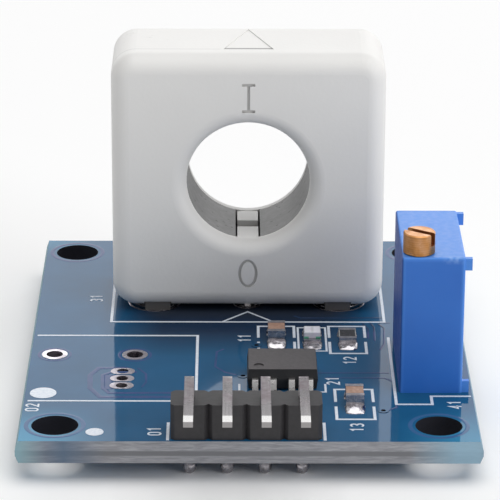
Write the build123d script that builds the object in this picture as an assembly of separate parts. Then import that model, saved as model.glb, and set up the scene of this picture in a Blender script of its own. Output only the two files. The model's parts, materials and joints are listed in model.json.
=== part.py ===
from build123d import *
import math
import os

# Hall effect current sensor on a small circuit board: a gapped ring core in a square housing with a bore
# for the conductor, a comparator, a 25-turn trimmer, a few chips and a right-angle pin header.
# Frame: X right, Y away from the header, Z up. Origin: midway between the four fixing holes, on the
# board's underside. Lengths are in millimetres.

# Fixing holes and board
hole_spacing_x = 26.0
hole_spacing_y = 32.8
fixing_hole_r = 1.6
margin_left = 2.35
margin_right = 2.65
margin_front = 2.6
margin_rear = 2.6
board_t = 1.6
score_out = 0.2
score_band = 0.35

# How far cutters run past a face, and how deep joined mouldings run into each other
past = 1.0
fuse = 0.2

# Copper and solder
pad_t = 0.035
plating_t = 0.03
solder_film = 0.06
joint_drop = 1.36
joint_tip_r = 0.18
joint_neck_r = 0.47
joint_neck_z = 0.65
joint_bow_in = 0.15
joint_bow_drop = 0.1
joint_hollow_in = 0.3
joint_hollow_up = 0.42
fillet_hollow = 0.35
lead_cover = 0.2

# Header: block, square pins and how far they reach past the board's front edge
header_pins = 4
header_pitch = 2.54
header_depth = 2.54
header_height = 2.54
header_x = -0.05
header_setback = 0.2
header_corner = 0.27
header_pin = 0.64
header_pin_rise = 1.44
header_pin_reach = 6.2
header_bend_r = 0.31
header_taper = 0.14
header_taper_length = 0.78
header_hole_r = 0.5
header_pad_r = 0.9

# Sensor housing
sensor_x = 0.15
sensor_front_y = 4.0
sensor_depth = 7.5
sensor_side = 2.1
sensor_top = 1.85
sensor_standoff = 0.3
sensor_corner_r = 1.8
sensor_front_r = 1.3
sensor_rear_r = 0.4
sensor_wall = 1.0
pocket_web = 0.35
front_wall = 1.15
rear_wall = 0.55
parting_depth = 2.05
bore_r = 4.5
bore_flare_r = 1.1
mark_depth = 0.15
mark_height = 2.2
mark_stroke = 0.21
mark_above = 1.02
mark_below = 1.3
zero_width = 1.43
one_width = 0.95
arrow_half = 1.82
arrow_length = 5.0
arrow_depth = 0.06
peg_r = 0.5
peg_length = 2.85
peg_in = 1.95
peg_wall = 0.5
peg_play = 0.05
peg_tip_play = 0.2
foot_in = 3.3
foot_width = 1.85
foot_front = 0.4
foot_rear = 0.5
foot_length = 1.4
foot_embed = 0.5

# Ring core, its gap, and the Hall element with its three legs
core_r = 7.8
core_play = 0.05
core_gap = 1.82
tongue_width = 1.55
tongue_drop = 0.02
tongue_t = 0.7
tongue_front_length = 2.4
tongue_slot = 1.3
hall_row_in = 3.0
hall_size_x = 1.5
hall_size_y = 4.1
hall_size_z = 3.0
hall_play = 0.05
hall_bevel = 0.45
hall_leg_play = 0.15
hall_lead = 0.4
hall_pitch = 1.27
hall_hole_r = 0.4
hall_pad_x = 1.69
hall_pad_y = 1.1
post_r = 0.5
post_hold = 3.0
post_bevel = 0.15
post_boss_r = 1.2
post_boss_low = 0.5
post_boss_over = 0.3
post_hole_r = 0.8
post_pad_r = 2.05
post_joint_r = 1.4
post_neck_r = 0.85

# Trimmer: case, screw, worm wheel and the parts inside
trimmer_x = 10.6
trimmer_y = -10.8
trimmer_width = 4.35
trimmer_wall = 0.6
trimmer_top = 0.83
wheel_room_rear = 1.68
wheel_room_low = 0.7
wheel_room_high = 1.4
trimmer_edge_r = 0.2
trimmer_top_r = 0.15
nub_out = 0.47
nub_root = 0.3
nub_in = 0.1
nub_depth = 0.4
nub_height = 0.85
nub_drop = 0.1
screw_in_x = 1.2
screw_in_y = 1.2
screw_head_r = 1.1
screw_head_h = 1.45
screw_head_bevel = 0.07
screw_slot = 0.5
screw_slot_depth = 0.85
screw_slot_turn = -33.0
screw_neck_r = 0.6
screw_collar_r = 0.74
screw_collar_h = 0.4
screw_channel_r = 0.8
screw_tail_r = 0.4
screw_tail_h = 0.5
run_play = 0.05
seal_t = 0.33
seal_h = 0.4
wheel_tip_r = 2.7
wheel_tooth = 0.25
wheel_teeth = 32
wheel_t = 1.07
axle_r = 0.5
wiper_t = 0.1
wiper_ring_r = 1.25
wiper_arm_half = 0.3
wiper_contact_r = 0.18
element_t = 0.7
element_edge = 0.2
track_t = 0.05
track_in_r = 1.9
track_out_r = 2.4
collector_in_r = 0.7
collector_out_r = 1.1
track_opening = 60
base_low = 0.3
base_t = 1.0
trimmer_pin_r = 0.25
trimmer_pin_side = 0.65
trimmer_pin_pitch = 2.54
trimmer_hole_r = 0.45
trimmer_pad_r = 0.85

# Comparator in an 8-pin small outline package
chip_x = 2.5
chip_y = -8.55
chip_width = 4.9
chip_depth = 3.9
chip_height = 1.45
chip_standoff = 0.15
chip_draft = 7
chip_pitch = 1.27
chip_lead_width = 0.42
chip_lead_t = 0.2
chip_span = 6.0
chip_foot = 0.6
chip_shoulder = 0.3
chip_lead_lean = 0.12
chip_mark_in = 0.8
chip_mark_r = 0.35
chip_mark_depth = 0.08
lead_pad_side = 0.075
lead_pad_run = 0.45
lead_fillet = 0.2

# Chip parts, long side along Y: centres and heights
chip_length = 2.0
part_width = 1.25
terminal_length = 0.4
terminal_t = 0.03
pad_run = 0.95
pad_width = 1.4
cap_1_place = (2.2, -1.0)
cap_2_place = (7.43, -12.55)
resistor_place = (7.33, -1.24)
led_place = (4.78, -1.15)
cap_height = 0.95
cap_fillet = 0.52
resistor_height = 0.5
resistor_fillet = 0.4
resistor_film_in = 0.03
led_base_height = 0.3
led_fillet = 0.3
led_lens_height = 0.5
led_lens_play = 0.025
led_lens_bevel = 0.06

# Plated holes left empty for a smaller sensor, and vias
spare_big_places = ((-13.67, -4.05), (-7.94, -4.1))
spare_big_hole_r = 0.62
spare_big_pad_r = 0.92
spare_row_place = (-8.71, -8.38)
spare_row_hole_r = 0.44
via_places = ((9.35, -13.88), (0.76, -2.3), (-0.24, -7.88))
via_hole_r = 0.2
via_pad_r = 0.38

# Legend: frames round the sensor and the spare holes, brackets, and two dots as (x, y, r)
legend_t = 0.02
legend_line = 0.2
legend_fine = 0.15
legend_gap = 0.1
legend_edge = 0.35
legend_sensor_side = 0.05
legend_sensor_front = 1.85
legend_sensor_rear = 1.0
legend_arrow_half = 1.9
legend_arrow_rise = 2.0
legend_spare_x1 = -3.5
legend_spare_y0 = -12.3
legend_spare_y1 = -0.5
legend_part_half_x = 1.3
legend_part_half_y = 2.55
legend_part_gap = 0.5
legend_part_shift = -0.25
legend_led_half_x = 1.0
legend_led_half_y = 2.2
legend_led_gap = 0.02
legend_header_out = 0.2
legend_header_front = 1.2
legend_header_rear = 1.5
legend_chip_out = 0.55
legend_chip_front = 0.2
legend_chip_run = 1.3
legend_chip_hook = 0.3
legend_trimmer_left = 0.3
legend_trimmer_front = 2.0
legend_trimmer_step = 0.6
legend_trimmer_rear = 0.4
dot_big = (-14.1, -10.94, 0.92)
dot_small = (-10.27, -17.5, 0.61)

# Places worked out from the sizes above
board_x0 = -hole_spacing_x / 2 - margin_left
board_x1 = hole_spacing_x / 2 + margin_right
board_y0 = -hole_spacing_y / 2 - margin_front
board_y1 = hole_spacing_y / 2 + margin_rear
board_cx = (board_x0 + board_x1) / 2
board_cy = (board_y0 + board_y1) / 2
joint_tip_z = -joint_drop
lead_end_z = joint_tip_z + lead_cover

header_y = board_y0 + header_setback + header_depth / 2
header_xs = [header_x + header_pitch * (k - (header_pins - 1) / 2) for k in range(header_pins)]

sensor_width = 2 * (core_r + core_play + sensor_side)
sensor_height = 2 * (core_r + core_play + sensor_top)
sensor_y1 = sensor_front_y + sensor_depth
sensor_z0 = board_t + sensor_standoff
bore_z = sensor_z0 + sensor_height / 2
parting_y = sensor_front_y + parting_depth
pocket_y0 = sensor_front_y + front_wall
pocket_y1 = sensor_y1 - rear_wall
pocket_r = max(sensor_width, sensor_height) / 2 - sensor_wall + pocket_web
foot_x = sensor_width / 2 - foot_in
foot_z0 = board_t + pad_t
hall_row_y = sensor_front_y + hall_row_in
hall_ys = [hall_row_y + hall_pitch * k for k in (-1, 0, 1)]
hall_z1 = bore_z - bore_r - tongue_drop - tongue_t - hall_play
hall_z0 = hall_z1 - hall_size_z
posts = [(sensor_x - foot_x, hall_row_y), (sensor_x + foot_x, hall_row_y)]

trimmer_z0 = board_t
screw_x = trimmer_x + screw_in_x
screw_y = trimmer_y + screw_in_y
base_top_z = trimmer_z0 + base_low + base_t
element_half = wheel_tip_r + element_edge
wheel_cy = screw_y + screw_neck_r + run_play + wheel_tip_r
wheel_cz = base_top_z + wheel_room_low + element_half
trimmer_depth = wheel_cy + wheel_tip_r + wheel_room_rear + trimmer_wall - trimmer_y
ceiling_z = wheel_cz + element_half + wheel_room_high
case_top_z = ceiling_z + trimmer_top
inner_left = trimmer_x + trimmer_wall
inner_right = trimmer_x + trimmer_width - trimmer_wall
wheel_x0 = inner_left + run_play
wheel_x1 = wheel_x0 + wheel_t
element_x0 = inner_right - element_t
trimmer_pin_x = inner_right - trimmer_pin_side
trimmer_pin_ys = [wheel_cy + trimmer_pin_pitch * k for k in (-1, 0, 1)]

chip_leads_x = [chip_x + chip_pitch * (k - 1.5) for k in range(4)]
spare_row_ys = [spare_row_place[1] + hall_pitch * k for k in (-1, 0, 1)]


def box(x0, x1, y0, y1, z0, z1):
    """A box from its six faces."""
    return Pos((x0 + x1) / 2, (y0 + y1) / 2, (z0 + z1) / 2) * Box(x1 - x0, y1 - y0, z1 - z0)


def rod(x, y, z0, z1, r):
    """An upright cylinder."""
    return Pos(x, y, (z0 + z1) / 2) * Cylinder(r, z1 - z0)


def rod_y(x, z, y0, y1, r):
    """A cylinder lying along Y."""
    return Pos(x, (y0 + y1) / 2, z) * Rot(90, 0, 0) * Cylinder(r, y1 - y0)


def rod_x(y, z, x0, x1, r):
    """A cylinder lying along X."""
    return Pos((x0 + x1) / 2, y, z) * Rot(0, 90, 0) * Cylinder(r, x1 - x0)


def group(pieces):
    """Several separate solids written as one node."""
    return Compound(children=list(pieces))


def save(shape, node):
    """Write one node."""
    export_step(shape, f"parts/{node}.step")


# Board

def drilled_places():
    """Every round hole through the board as (x, y, r)."""
    places = [(sx * hole_spacing_x / 2, sy * hole_spacing_y / 2, fixing_hole_r)
              for sx in (-1, 1) for sy in (-1, 1)]
    places += [(x, header_y, header_hole_r) for x in header_xs]
    places += [(sensor_x, y, hall_hole_r) for y in hall_ys]
    places += [(x, y, post_hole_r) for x, y in posts]
    places += [(trimmer_pin_x, y, trimmer_hole_r) for y in trimmer_pin_ys]
    places += [(x, y, spare_big_hole_r) for x, y in spare_big_places]
    places += [(spare_row_place[0], y, spare_row_hole_r) for y in spare_row_ys]
    places += [(x, y, via_hole_r) for x, y in via_places]
    return places


def circuit_board():
    """A slab whose scored edges stand proud at mid-thickness, drilled for everything it carries."""
    width = board_x1 - board_x0
    length = board_y1 - board_y0
    bevel = (board_t - score_band) / 2
    lean = math.degrees(math.atan(score_out / bevel))
    outline = Rectangle(width + 2 * score_out, length + 2 * score_out)
    band_top = board_t / 2 + score_band / 2
    band_low = board_t / 2 - score_band / 2
    upper = extrude(Plane.XY.offset(band_top) * outline, amount=bevel, taper=lean)
    band = extrude(Plane.XY.offset(band_low) * outline, amount=score_band)
    lower = extrude(Plane.XY.offset(band_low) * outline, amount=-bevel, taper=lean)
    slab = Pos(board_cx, board_cy, 0) * (upper + band + lower)
    for x, y, r in drilled_places():
        slab -= rod(x, y, -past, board_t + past, r)
    return slab


def eyelet(x, y, hole_r, pad):
    """A plated hole: a thin barrel with a pad on each face; pad is a flat outline."""
    body = extrude(Pos(x, y, board_t) * pad, amount=pad_t)
    body += extrude(Pos(x, y, -pad_t) * pad, amount=pad_t)
    body += rod(x, y, 0, board_t, hole_r)
    return body - rod(x, y, -past, board_t + past, hole_r - plating_t)


def spare_pads():
    """The five plated holes that a smaller sensor would use."""
    round_pad = Circle(spare_big_pad_r)
    oval_pad = SlotOverall(hall_pad_x, hall_pad_y)
    rings = [eyelet(x, y, spare_big_hole_r, round_pad) for x, y in spare_big_places]
    rings += [eyelet(spare_row_place[0], y, spare_row_hole_r, oval_pad) for y in spare_row_ys]
    return group(rings)


def vias():
    """Small plated holes that join the two copper sides."""
    return group(eyelet(x, y, via_hole_r, Circle(via_pad_r)) for x, y in via_places)


# Legend printed on the board

def stroke(x0, y0, x1, y1, width=legend_line):
    """A printed line with square ends."""
    length = math.hypot(x1 - x0, y1 - y0) + width
    turn = math.degrees(math.atan2(y1 - y0, x1 - x0))
    return Pos((x0 + x1) / 2, (y0 + y1) / 2) * Rot(0, 0, turn) * Rectangle(length, width)


def brackets(place, half_x, half_y, gap, width=legend_line):
    """Two facing brackets round a chip part."""
    x, y = place
    lines = []
    for side in (-1, 1):
        end = y + side * half_y
        near = y + side * gap
        lines.append(stroke(x - half_x, end, x + half_x, end, width))
        lines += [stroke(x + s * half_x, end, x + s * half_x, near, width) for s in (-1, 1)]
    return lines


def frame_lines():
    """The printed lines round the sensor and its arrow, and round the spare holes."""
    half = sensor_width / 2 + legend_sensor_side
    left, right = sensor_x - half, sensor_x + half
    front, rear = sensor_front_y - legend_sensor_front, sensor_y1 + legend_sensor_rear
    lines = [stroke(left, front, right, front), stroke(left, front, left, rear),
             stroke(right, front, right, rear), stroke(left, rear, right, rear)]
    apex = (sensor_x, front + legend_arrow_rise)
    lines += [stroke(sensor_x + s * legend_arrow_half, front, *apex, width=legend_fine) for s in (-1, 1)]
    edge = board_x0 + legend_edge
    lines += [stroke(edge, legend_spare_y1, legend_spare_x1, legend_spare_y1),
              stroke(edge, legend_spare_y0, legend_spare_x1, legend_spare_y0),
              stroke(legend_spare_x1, legend_spare_y0, legend_spare_x1, legend_spare_y1)]
    return lines


def part_lines():
    """The brackets round the chip parts, the header's end lines and the comparator's front corners."""
    lines = []
    for place in ((cap_1_place[0], resistor_place[1]), resistor_place,
                  (cap_2_place[0], cap_2_place[1] + legend_part_shift)):
        lines += brackets(place, legend_part_half_x, legend_part_half_y, legend_part_gap)
    lines += brackets(led_place, legend_led_half_x, legend_led_half_y, legend_led_gap, legend_fine)
    for s in (-1, 1):
        end = header_x + s * (header_pins * header_pitch / 2 + legend_header_out)
        lines.append(stroke(end, header_y - legend_header_front, end, header_y + legend_header_rear))
        corner = chip_x + s * (chip_width / 2 + legend_chip_out)
        front = chip_y - chip_depth / 2 - legend_chip_front
        lines.append(stroke(corner, front, corner, front + legend_chip_run, legend_fine))
        lines.append(stroke(corner, front, corner - s * legend_chip_hook, front, legend_fine))
    return lines


def trimmer_lines():
    """The stepped line to the left and in front of the trimmer."""
    left = trimmer_x - legend_trimmer_left
    front = trimmer_y - legend_trimmer_front
    step_x = trimmer_x + trimmer_width / 2
    step_y = trimmer_y - legend_trimmer_step
    right = trimmer_x + trimmer_width + nub_out
    return [stroke(left, front, left, trimmer_y + trimmer_depth + legend_trimmer_rear),
            stroke(left, front, step_x, front), stroke(step_x, front, step_x, step_y),
            stroke(step_x, step_y, right, step_y)]


def legend():
    """All printed lines and dots as one thin print, kept clear of the copper and the header."""
    lines = frame_lines() + part_lines() + trimmer_lines()
    drawing = lines[0]
    for line in lines[1:]:
        drawing += line
    for x, y, r in (dot_big, dot_small):
        drawing += Pos(x, y) * Circle(r)
    pad_reach = chip_length / 2 + pad_run
    for x, y in (cap_1_place, cap_2_place, resistor_place, led_place):
        drawing -= Pos(x, y) * Rectangle(pad_width + 2 * legend_gap, 2 * (pad_reach + legend_gap))
    for x, y in via_places:
        drawing -= Pos(x, y) * Circle(via_pad_r + legend_gap)
    drawing -= Pos(header_x, header_y) * Rectangle(header_pins * header_pitch + legend_gap,
                                                   header_depth + legend_gap)
    for x, y in posts:
        drawing -= Pos(x, y) * Circle(post_pad_r + legend_gap)
    return extrude(Pos(0, 0, board_t) * drawing, amount=legend_t)


# Solder

def solder_joint(x, y, hole_r, pad_r, lead, top_pad=None, neck_r=joint_neck_r):
    """A joint under the board: barrel, lower pad, a cone that narrows in a hollow curve, and a round tip.

    lead is the solid of the leg that it holds; top_pad is the flat outline of a ring on the upper face.
    """
    with BuildSketch(Plane.XZ) as section:
        with BuildLine():
            tip = (joint_tip_r, joint_tip_z)
            neck = (neck_r, -joint_neck_z)
            rim = (pad_r, -pad_t)
            Line((0, 0), (0, joint_tip_z))
            Line((0, joint_tip_z), tip)
            bow = (neck_r * (1 - joint_bow_in), (joint_tip_z - joint_neck_z) / 2 - joint_bow_drop)
            ThreePointArc(tip, bow, neck)
            hollow = (neck[0] + joint_hollow_in * (rim[0] - neck[0]),
                      rim[1] + joint_hollow_up * (neck[1] - rim[1]))
            ThreePointArc(neck, hollow, rim)
            Line(rim, (pad_r, 0))
            Line((pad_r, 0), (0, 0))
        make_face()
    joint = Pos(x, y, 0) * revolve(section.sketch, Axis.Z)
    joint += rod(x, y, 0, board_t, hole_r)
    if top_pad is not None:
        joint += extrude(Pos(x, y, board_t) * top_pad, amount=pad_t)
    return joint - lead


def header_pin_shape(x):
    """A square pin: up through board and block, bent forward, with a tip pressed flatter from both sides."""
    half = header_pin / 2
    back = header_y + half
    front = header_y - half
    top = board_t + header_height + header_pin_rise + half
    under = top - header_pin
    tip_y = board_y0 - header_pin_reach
    taper_y = tip_y + header_taper_length
    outer_r = header_bend_r + header_pin
    with BuildSketch(Plane.YZ) as side:
        with BuildLine():
            Line((front, lead_end_z), (back, lead_end_z))
            Line((back, lead_end_z), (back, top - outer_r))
            RadiusArc((back, top - outer_r), (back - outer_r, top), -outer_r)
            Line((back - outer_r, top), (taper_y, top))
            Line((taper_y, top), (tip_y, top - header_taper))
            Line((tip_y, top - header_taper), (tip_y, under + header_taper))
            Line((tip_y, under + header_taper), (taper_y, under))
            Line((taper_y, under), (front - header_bend_r, under))
            RadiusArc((front - header_bend_r, under), (front, under - header_bend_r), header_bend_r)
            Line((front, under - header_bend_r), (front, lead_end_z))
        make_face()
    return extrude(Pos(x, 0, 0) * side.sketch, amount=half, both=True)


def header_block():
    """The moulded block: one bevelled segment for each pin, joined side to side."""
    block = None
    for x in header_xs:
        segment = Pos(x, header_y, board_t + header_height / 2) * Box(header_pitch, header_depth, header_height)
        segment = chamfer(segment.edges().filter_by(Axis.Z), header_corner)
        segment -= box(x - header_pin / 2, x + header_pin / 2, header_y - header_pin / 2,
                       header_y + header_pin / 2, board_t - past, board_t + header_height + past)
        block = segment if block is None else block + segment
    return block


# Sensor

def housing_outer():
    """The whole housing as one solid block with its bore and its rounded mouth."""
    plane = Plane(origin=(sensor_x, sensor_y1, bore_z), x_dir=(1, 0, 0), z_dir=(0, -1, 0))
    outline = plane * RectangleRounded(sensor_width, sensor_height, sensor_corner_r)
    block = extrude(outline, amount=sensor_depth)
    front = block.faces().sort_by(Axis.Y)[0].edges()
    block = fillet(front, sensor_front_r)
    rear = block.faces().sort_by(Axis.Y)[-1].edges()
    block = fillet(rear, sensor_rear_r)
    block -= rod_y(sensor_x, bore_z, sensor_front_y - past, sensor_y1 + past, bore_r)
    mouth = block.faces().sort_by(Axis.Y)[0].inner_wires()[0]
    return fillet(mouth.edges(), bore_flare_r)


def housing_hollow():
    """What both shells leave free: the ring core's seat, the corner pockets, the Hall seat and its leg slot."""
    seat_r = core_r + core_play
    depth = pocket_y1 - pocket_y0
    cavity = Pos(sensor_x, (pocket_y0 + pocket_y1) / 2, bore_z) * Box(
        sensor_width - 2 * sensor_wall, depth, sensor_height - 2 * sensor_wall)
    corners = cavity - rod_y(sensor_x, bore_z, pocket_y0 - past, pocket_y1 + past, pocket_r)
    hollow = corners + rod_y(sensor_x, bore_z, pocket_y0, pocket_y1, seat_r)
    half = hall_size_x / 2 + hall_play
    y0 = hall_row_y - hall_size_y / 2 - hall_play
    y1 = hall_row_y + hall_size_y / 2 + hall_play
    hollow += box(sensor_x - half, sensor_x + half, y0, y1, hall_z0 - hall_play, hall_z1 + hall_play)
    slot_half = hall_lead / 2 + hall_leg_play
    hollow += box(sensor_x - slot_half, sensor_x + slot_half, hall_ys[0] - slot_half, hall_ys[-1] + slot_half,
                  sensor_z0 - past, hall_z0)
    return hollow


def feet(y0):
    """A pair of moulded feet that hold the housing off the board."""
    pair = None
    for side in (-1, 1):
        x = sensor_x + side * foot_x
        foot = box(x - foot_width / 2, x + foot_width / 2, y0, y0 + foot_length,
                   foot_z0, sensor_z0 + foot_embed)
        pair = foot if pair is None else pair + foot
    return pair


def tongue(y0, y1):
    """A tongue that reaches into the core's gap over the Hall element."""
    top = bore_z - bore_r - tongue_drop
    half = tongue_width / 2
    return box(sensor_x - half, sensor_x + half, y0, y1, top - tongue_t, top)


def moulded_marks():
    """Cutters for the plain stroke above the bore and the ring below it."""
    y0, y1 = sensor_front_y - past, sensor_front_y + mark_depth
    half = mark_height / 2
    z = bore_z + bore_r + mark_above + half
    one = box(sensor_x - mark_stroke / 2, sensor_x + mark_stroke / 2, y0, y1, z - half, z + half)
    for side in (-1, 1):
        end = z + side * (half - mark_stroke / 2)
        one += box(sensor_x - one_width / 2, sensor_x + one_width / 2, y0, y1,
                   end - mark_stroke / 2, end + mark_stroke / 2)
    low = bore_z - bore_r - mark_below - half
    plane = Plane(origin=(sensor_x, y1, low), x_dir=(1, 0, 0), z_dir=(0, -1, 0))
    ring = Ellipse(zero_width / 2, half) - Ellipse(zero_width / 2 - mark_stroke, half - mark_stroke)
    return one, extrude(plane * ring, amount=past + mark_depth)


def arrow_recess():
    """Cutter for the arrow on top, with its base on the parting line."""
    top = sensor_z0 + sensor_height
    flat = Polyline((sensor_x - arrow_half, parting_y), (sensor_x + arrow_half, parting_y),
                    (sensor_x, parting_y + arrow_length), close=True)
    return extrude(Pos(0, 0, top - arrow_depth) * make_face(flat), amount=past)


def pegs(r, y0, y1):
    """Four rods in the housing's corners."""
    peg_x = sensor_width / 2 - peg_in
    peg_z = sensor_height / 2 - peg_in
    rods = [rod_y(sensor_x + sx * peg_x, bore_z + sz * peg_z, y0, y1, r) for sx in (-1, 1) for sz in (-1, 1)]
    return rods[0] + rods[1] + rods[2] + rods[3]


def shells():
    """The front and rear shells, parted behind the rounded front edges."""
    outer = housing_outer()
    body = outer - housing_hollow()
    x0, x1 = sensor_x - sensor_width, sensor_x + sensor_width
    z1 = sensor_z0 + sensor_height + past
    front = body & box(x0, x1, sensor_front_y - past, parting_y, 0, z1)
    rear = body & box(x0, x1, parting_y, sensor_y1 + past, 0, z1)
    one, zero = moulded_marks()
    front = front - one - zero
    front += pegs(peg_r, pocket_y0 - fuse, pocket_y0 + peg_length)
    front += tongue(pocket_y0 - fuse, pocket_y0 + tongue_front_length)
    front += feet(sensor_front_y + foot_front)
    cell = Pos(sensor_x, (parting_y + pocket_y1) / 2, bore_z) * Box(
        sensor_width - sensor_wall, pocket_y1 - parting_y, sensor_height - sensor_wall)
    rear += pegs(peg_r + peg_play + peg_wall, parting_y, pocket_y1 + fuse) & cell
    for x, y in posts:
        rear += rod(x, y, sensor_z0 + post_boss_low, sensor_z0 + post_hold + post_boss_over, post_boss_r) & cell
    rear -= pegs(peg_r + peg_play, parting_y - past, pocket_y0 + peg_length + peg_tip_play)
    for x, y in posts:
        rear -= rod(x, y, sensor_z0 - past, sensor_z0 + post_hold, post_r)
    rear += tongue(pocket_y0 + tongue_front_length + tongue_slot, pocket_y1 + fuse)
    rear += feet(sensor_y1 - foot_rear - foot_length)
    rear -= arrow_recess()
    return front, rear


def flux_core():
    """A ring of magnetic metal with a narrow gap at the bottom."""
    y0, y1 = pocket_y0 + core_play, pocket_y1 - core_play
    ring = rod_y(sensor_x, bore_z, y0, y1, core_r) - rod_y(sensor_x, bore_z, y0 - past, y1 + past, bore_r)
    half = core_gap / 2
    return ring - box(sensor_x - half, sensor_x + half, y0 - past, y1 + past,
                      bore_z - core_r - past, bore_z)


def hall_element():
    """The flat moulded Hall chip, standing in the gap."""
    body = Pos(sensor_x, hall_row_y, (hall_z0 + hall_z1) / 2) * Box(hall_size_x, hall_size_y, hall_size_z)
    side = body.edges().filter_by(Axis.Z).sort_by(Axis.X)[-2:]
    return chamfer(side, hall_bevel)


def hall_leg(y):
    """One square leg, straight down through the board."""
    half = hall_lead / 2
    return box(sensor_x - half, sensor_x + half, y - half, y + half, lead_end_z, hall_z0)


def post(x, y):
    """A round metal post, held in the rear shell and soldered into the board."""
    shape = rod(x, y, lead_end_z, sensor_z0 + post_hold, post_r)
    return chamfer(shape.edges().sort_by(Axis.Z)[-1], post_bevel)


# Trimmer

def trimmer_case():
    """The moulded case: open below, bored for the screw, with an axle for the wheel and four side nubs."""
    x0, x1 = trimmer_x, trimmer_x + trimmer_width
    y0, y1 = trimmer_y, trimmer_y + trimmer_depth
    case = box(x0, x1, y0, y1, trimmer_z0, case_top_z)
    case = fillet(case.edges().filter_by(Axis.Z), trimmer_edge_r)
    case = fillet(case.faces().sort_by(Axis.Z)[-1].edges(), trimmer_top_r)
    case -= box(inner_left, inner_right, y0 + trimmer_wall, y1 - trimmer_wall, trimmer_z0 - past, ceiling_z)
    case -= rod(screw_x, screw_y, base_top_z, ceiling_z, screw_channel_r)
    case -= rod(screw_x, screw_y, ceiling_z - past, case_top_z + past, screw_neck_r + run_play)
    seal_z0 = ceiling_z + (trimmer_top - seal_h) / 2
    case -= rod(screw_x, screw_y, seal_z0, seal_z0 + seal_h, screw_neck_r + run_play + seal_t)
    case += rod_x(wheel_cy, wheel_cz, inner_left - fuse, wheel_x1, axle_r)
    for ny in (y0 + nub_in, y1 - nub_in - nub_depth):
        for nz in (trimmer_z0, case_top_z - nub_drop - nub_height):
            case += box(x1 - nub_root, x1 + nub_out, ny, ny + nub_depth, nz, nz + nub_height)
    return case


def trimmer_screw():
    """Slotted brass head, neck, retaining collar, worm blank and tail; the worm's fine thread is left off."""
    head_z = case_top_z + run_play
    head = rod(screw_x, screw_y, head_z, head_z + screw_head_h, screw_head_r)
    head = chamfer(head.edges().sort_by(Axis.Z)[-1], screw_head_bevel)
    slot = Pos(screw_x, screw_y, head_z + screw_head_h) * Rot(0, 0, screw_slot_turn) * Box(
        3 * screw_head_r, screw_slot, 2 * screw_slot_depth)
    collar_top = ceiling_z - run_play
    worm_low = base_top_z + run_play
    body = head - slot
    body += rod(screw_x, screw_y, worm_low, head_z + fuse, screw_neck_r)
    body += rod(screw_x, screw_y, collar_top - screw_collar_h, collar_top, screw_collar_r)
    body += rod(screw_x, screw_y, worm_low - screw_tail_h, worm_low, screw_tail_r)
    return body


def screw_seal():
    """The soft ring in the case that keeps dirt out round the screw's neck."""
    z0 = ceiling_z + (trimmer_top - seal_h) / 2
    outer = rod(screw_x, screw_y, z0, z0 + seal_h, screw_neck_r + run_play + seal_t)
    return outer - rod(screw_x, screw_y, z0 - past, z0 + seal_h + past, screw_neck_r + run_play)


def worm_wheel():
    """A toothed wheel on the case's axle, turned by the screw's worm."""
    root = wheel_tip_r - wheel_tooth
    pitch = 360 / wheel_teeth
    points = []
    for k in range(wheel_teeth):
        for share, r in ((-0.30, root), (-0.14, wheel_tip_r), (0.14, wheel_tip_r), (0.30, root)):
            angle = math.radians((k + share) * pitch)
            points.append((r * math.cos(angle), r * math.sin(angle)))
    face = make_face(Polyline(*points, close=True))
    plane = Plane(origin=(wheel_x0, wheel_cy, wheel_cz), x_dir=(0, 1, 0), z_dir=(1, 0, 0))
    wheel = extrude(plane * face, amount=wheel_t)
    return wheel - rod_x(wheel_cy, wheel_cz, wheel_x0 - past, wheel_x1 + past, axle_r + run_play)


def wiper():
    """A spring plate on the wheel, with one contact on the track and one on the collector."""
    x0, x1 = wheel_x1, wheel_x1 + wiper_t
    reach = element_x0 - track_t - run_play
    plate = rod_x(wheel_cy, wheel_cz, x0, x1, wiper_ring_r)
    plate += box(x0, x1, wheel_cy - wiper_arm_half, wheel_cy + wiper_arm_half, wheel_cz,
                 wheel_cz + track_out_r)
    track_mid = (track_in_r + track_out_r) / 2
    collector_mid = (collector_in_r + collector_out_r) / 2
    plate += rod_x(wheel_cy, wheel_cz + track_mid, x0, reach, wiper_contact_r)
    plate += rod_x(wheel_cy, wheel_cz + collector_mid, x0, reach, wiper_contact_r)
    return plate - rod_x(wheel_cy, wheel_cz, x0 - past, x1 + past, axle_r + run_play)


def element_plate():
    """The ceramic plate that carries the resistance track."""
    return box(element_x0, inner_right, wheel_cy - element_half, wheel_cy + element_half,
               wheel_cz - element_half, wheel_cz + element_half)


def ring_x(x0, x1, r_in, r_out):
    """A flat ring round the wheel's axis."""
    return rod_x(wheel_cy, wheel_cz, x0, x1, r_out) - rod_x(wheel_cy, wheel_cz, x0 - past, x1 + past, r_in)


def resistance_track():
    """A film ring that is open at the bottom."""
    ring = ring_x(element_x0 - track_t, element_x0, track_in_r, track_out_r)
    spread = math.radians(track_opening / 2)
    reach = 2 * track_out_r
    wedge = Polyline((0, 0), (-reach * math.sin(spread), -reach * math.cos(spread)),
                     (reach * math.sin(spread), -reach * math.cos(spread)), close=True)
    plane = Plane(origin=(element_x0 - past, wheel_cy, wheel_cz), x_dir=(0, 1, 0), z_dir=(1, 0, 0))
    return ring - extrude(plane * make_face(wedge), amount=2 * past)


def trimmer_base():
    """Sealing resin round the pins, with a blind bearing for the screw's tail."""
    y0, y1 = trimmer_y + trimmer_wall, trimmer_y + trimmer_depth - trimmer_wall
    base = box(inner_left, inner_right, y0, y1, base_top_z - base_t, base_top_z)
    for y in trimmer_pin_ys:
        base -= rod(trimmer_pin_x, y, trimmer_z0 - past, base_top_z + past, trimmer_pin_r)
    base -= rod(screw_x, screw_y, base_top_z - screw_tail_h - run_play, base_top_z + past,
                screw_tail_r + run_play)
    return base


def trimmer_pin(y):
    """A round pin from the element plate's lower edge down through the board."""
    return rod(trimmer_pin_x, y, lead_end_z, wheel_cz - element_half, trimmer_pin_r)


# Comparator

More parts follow.
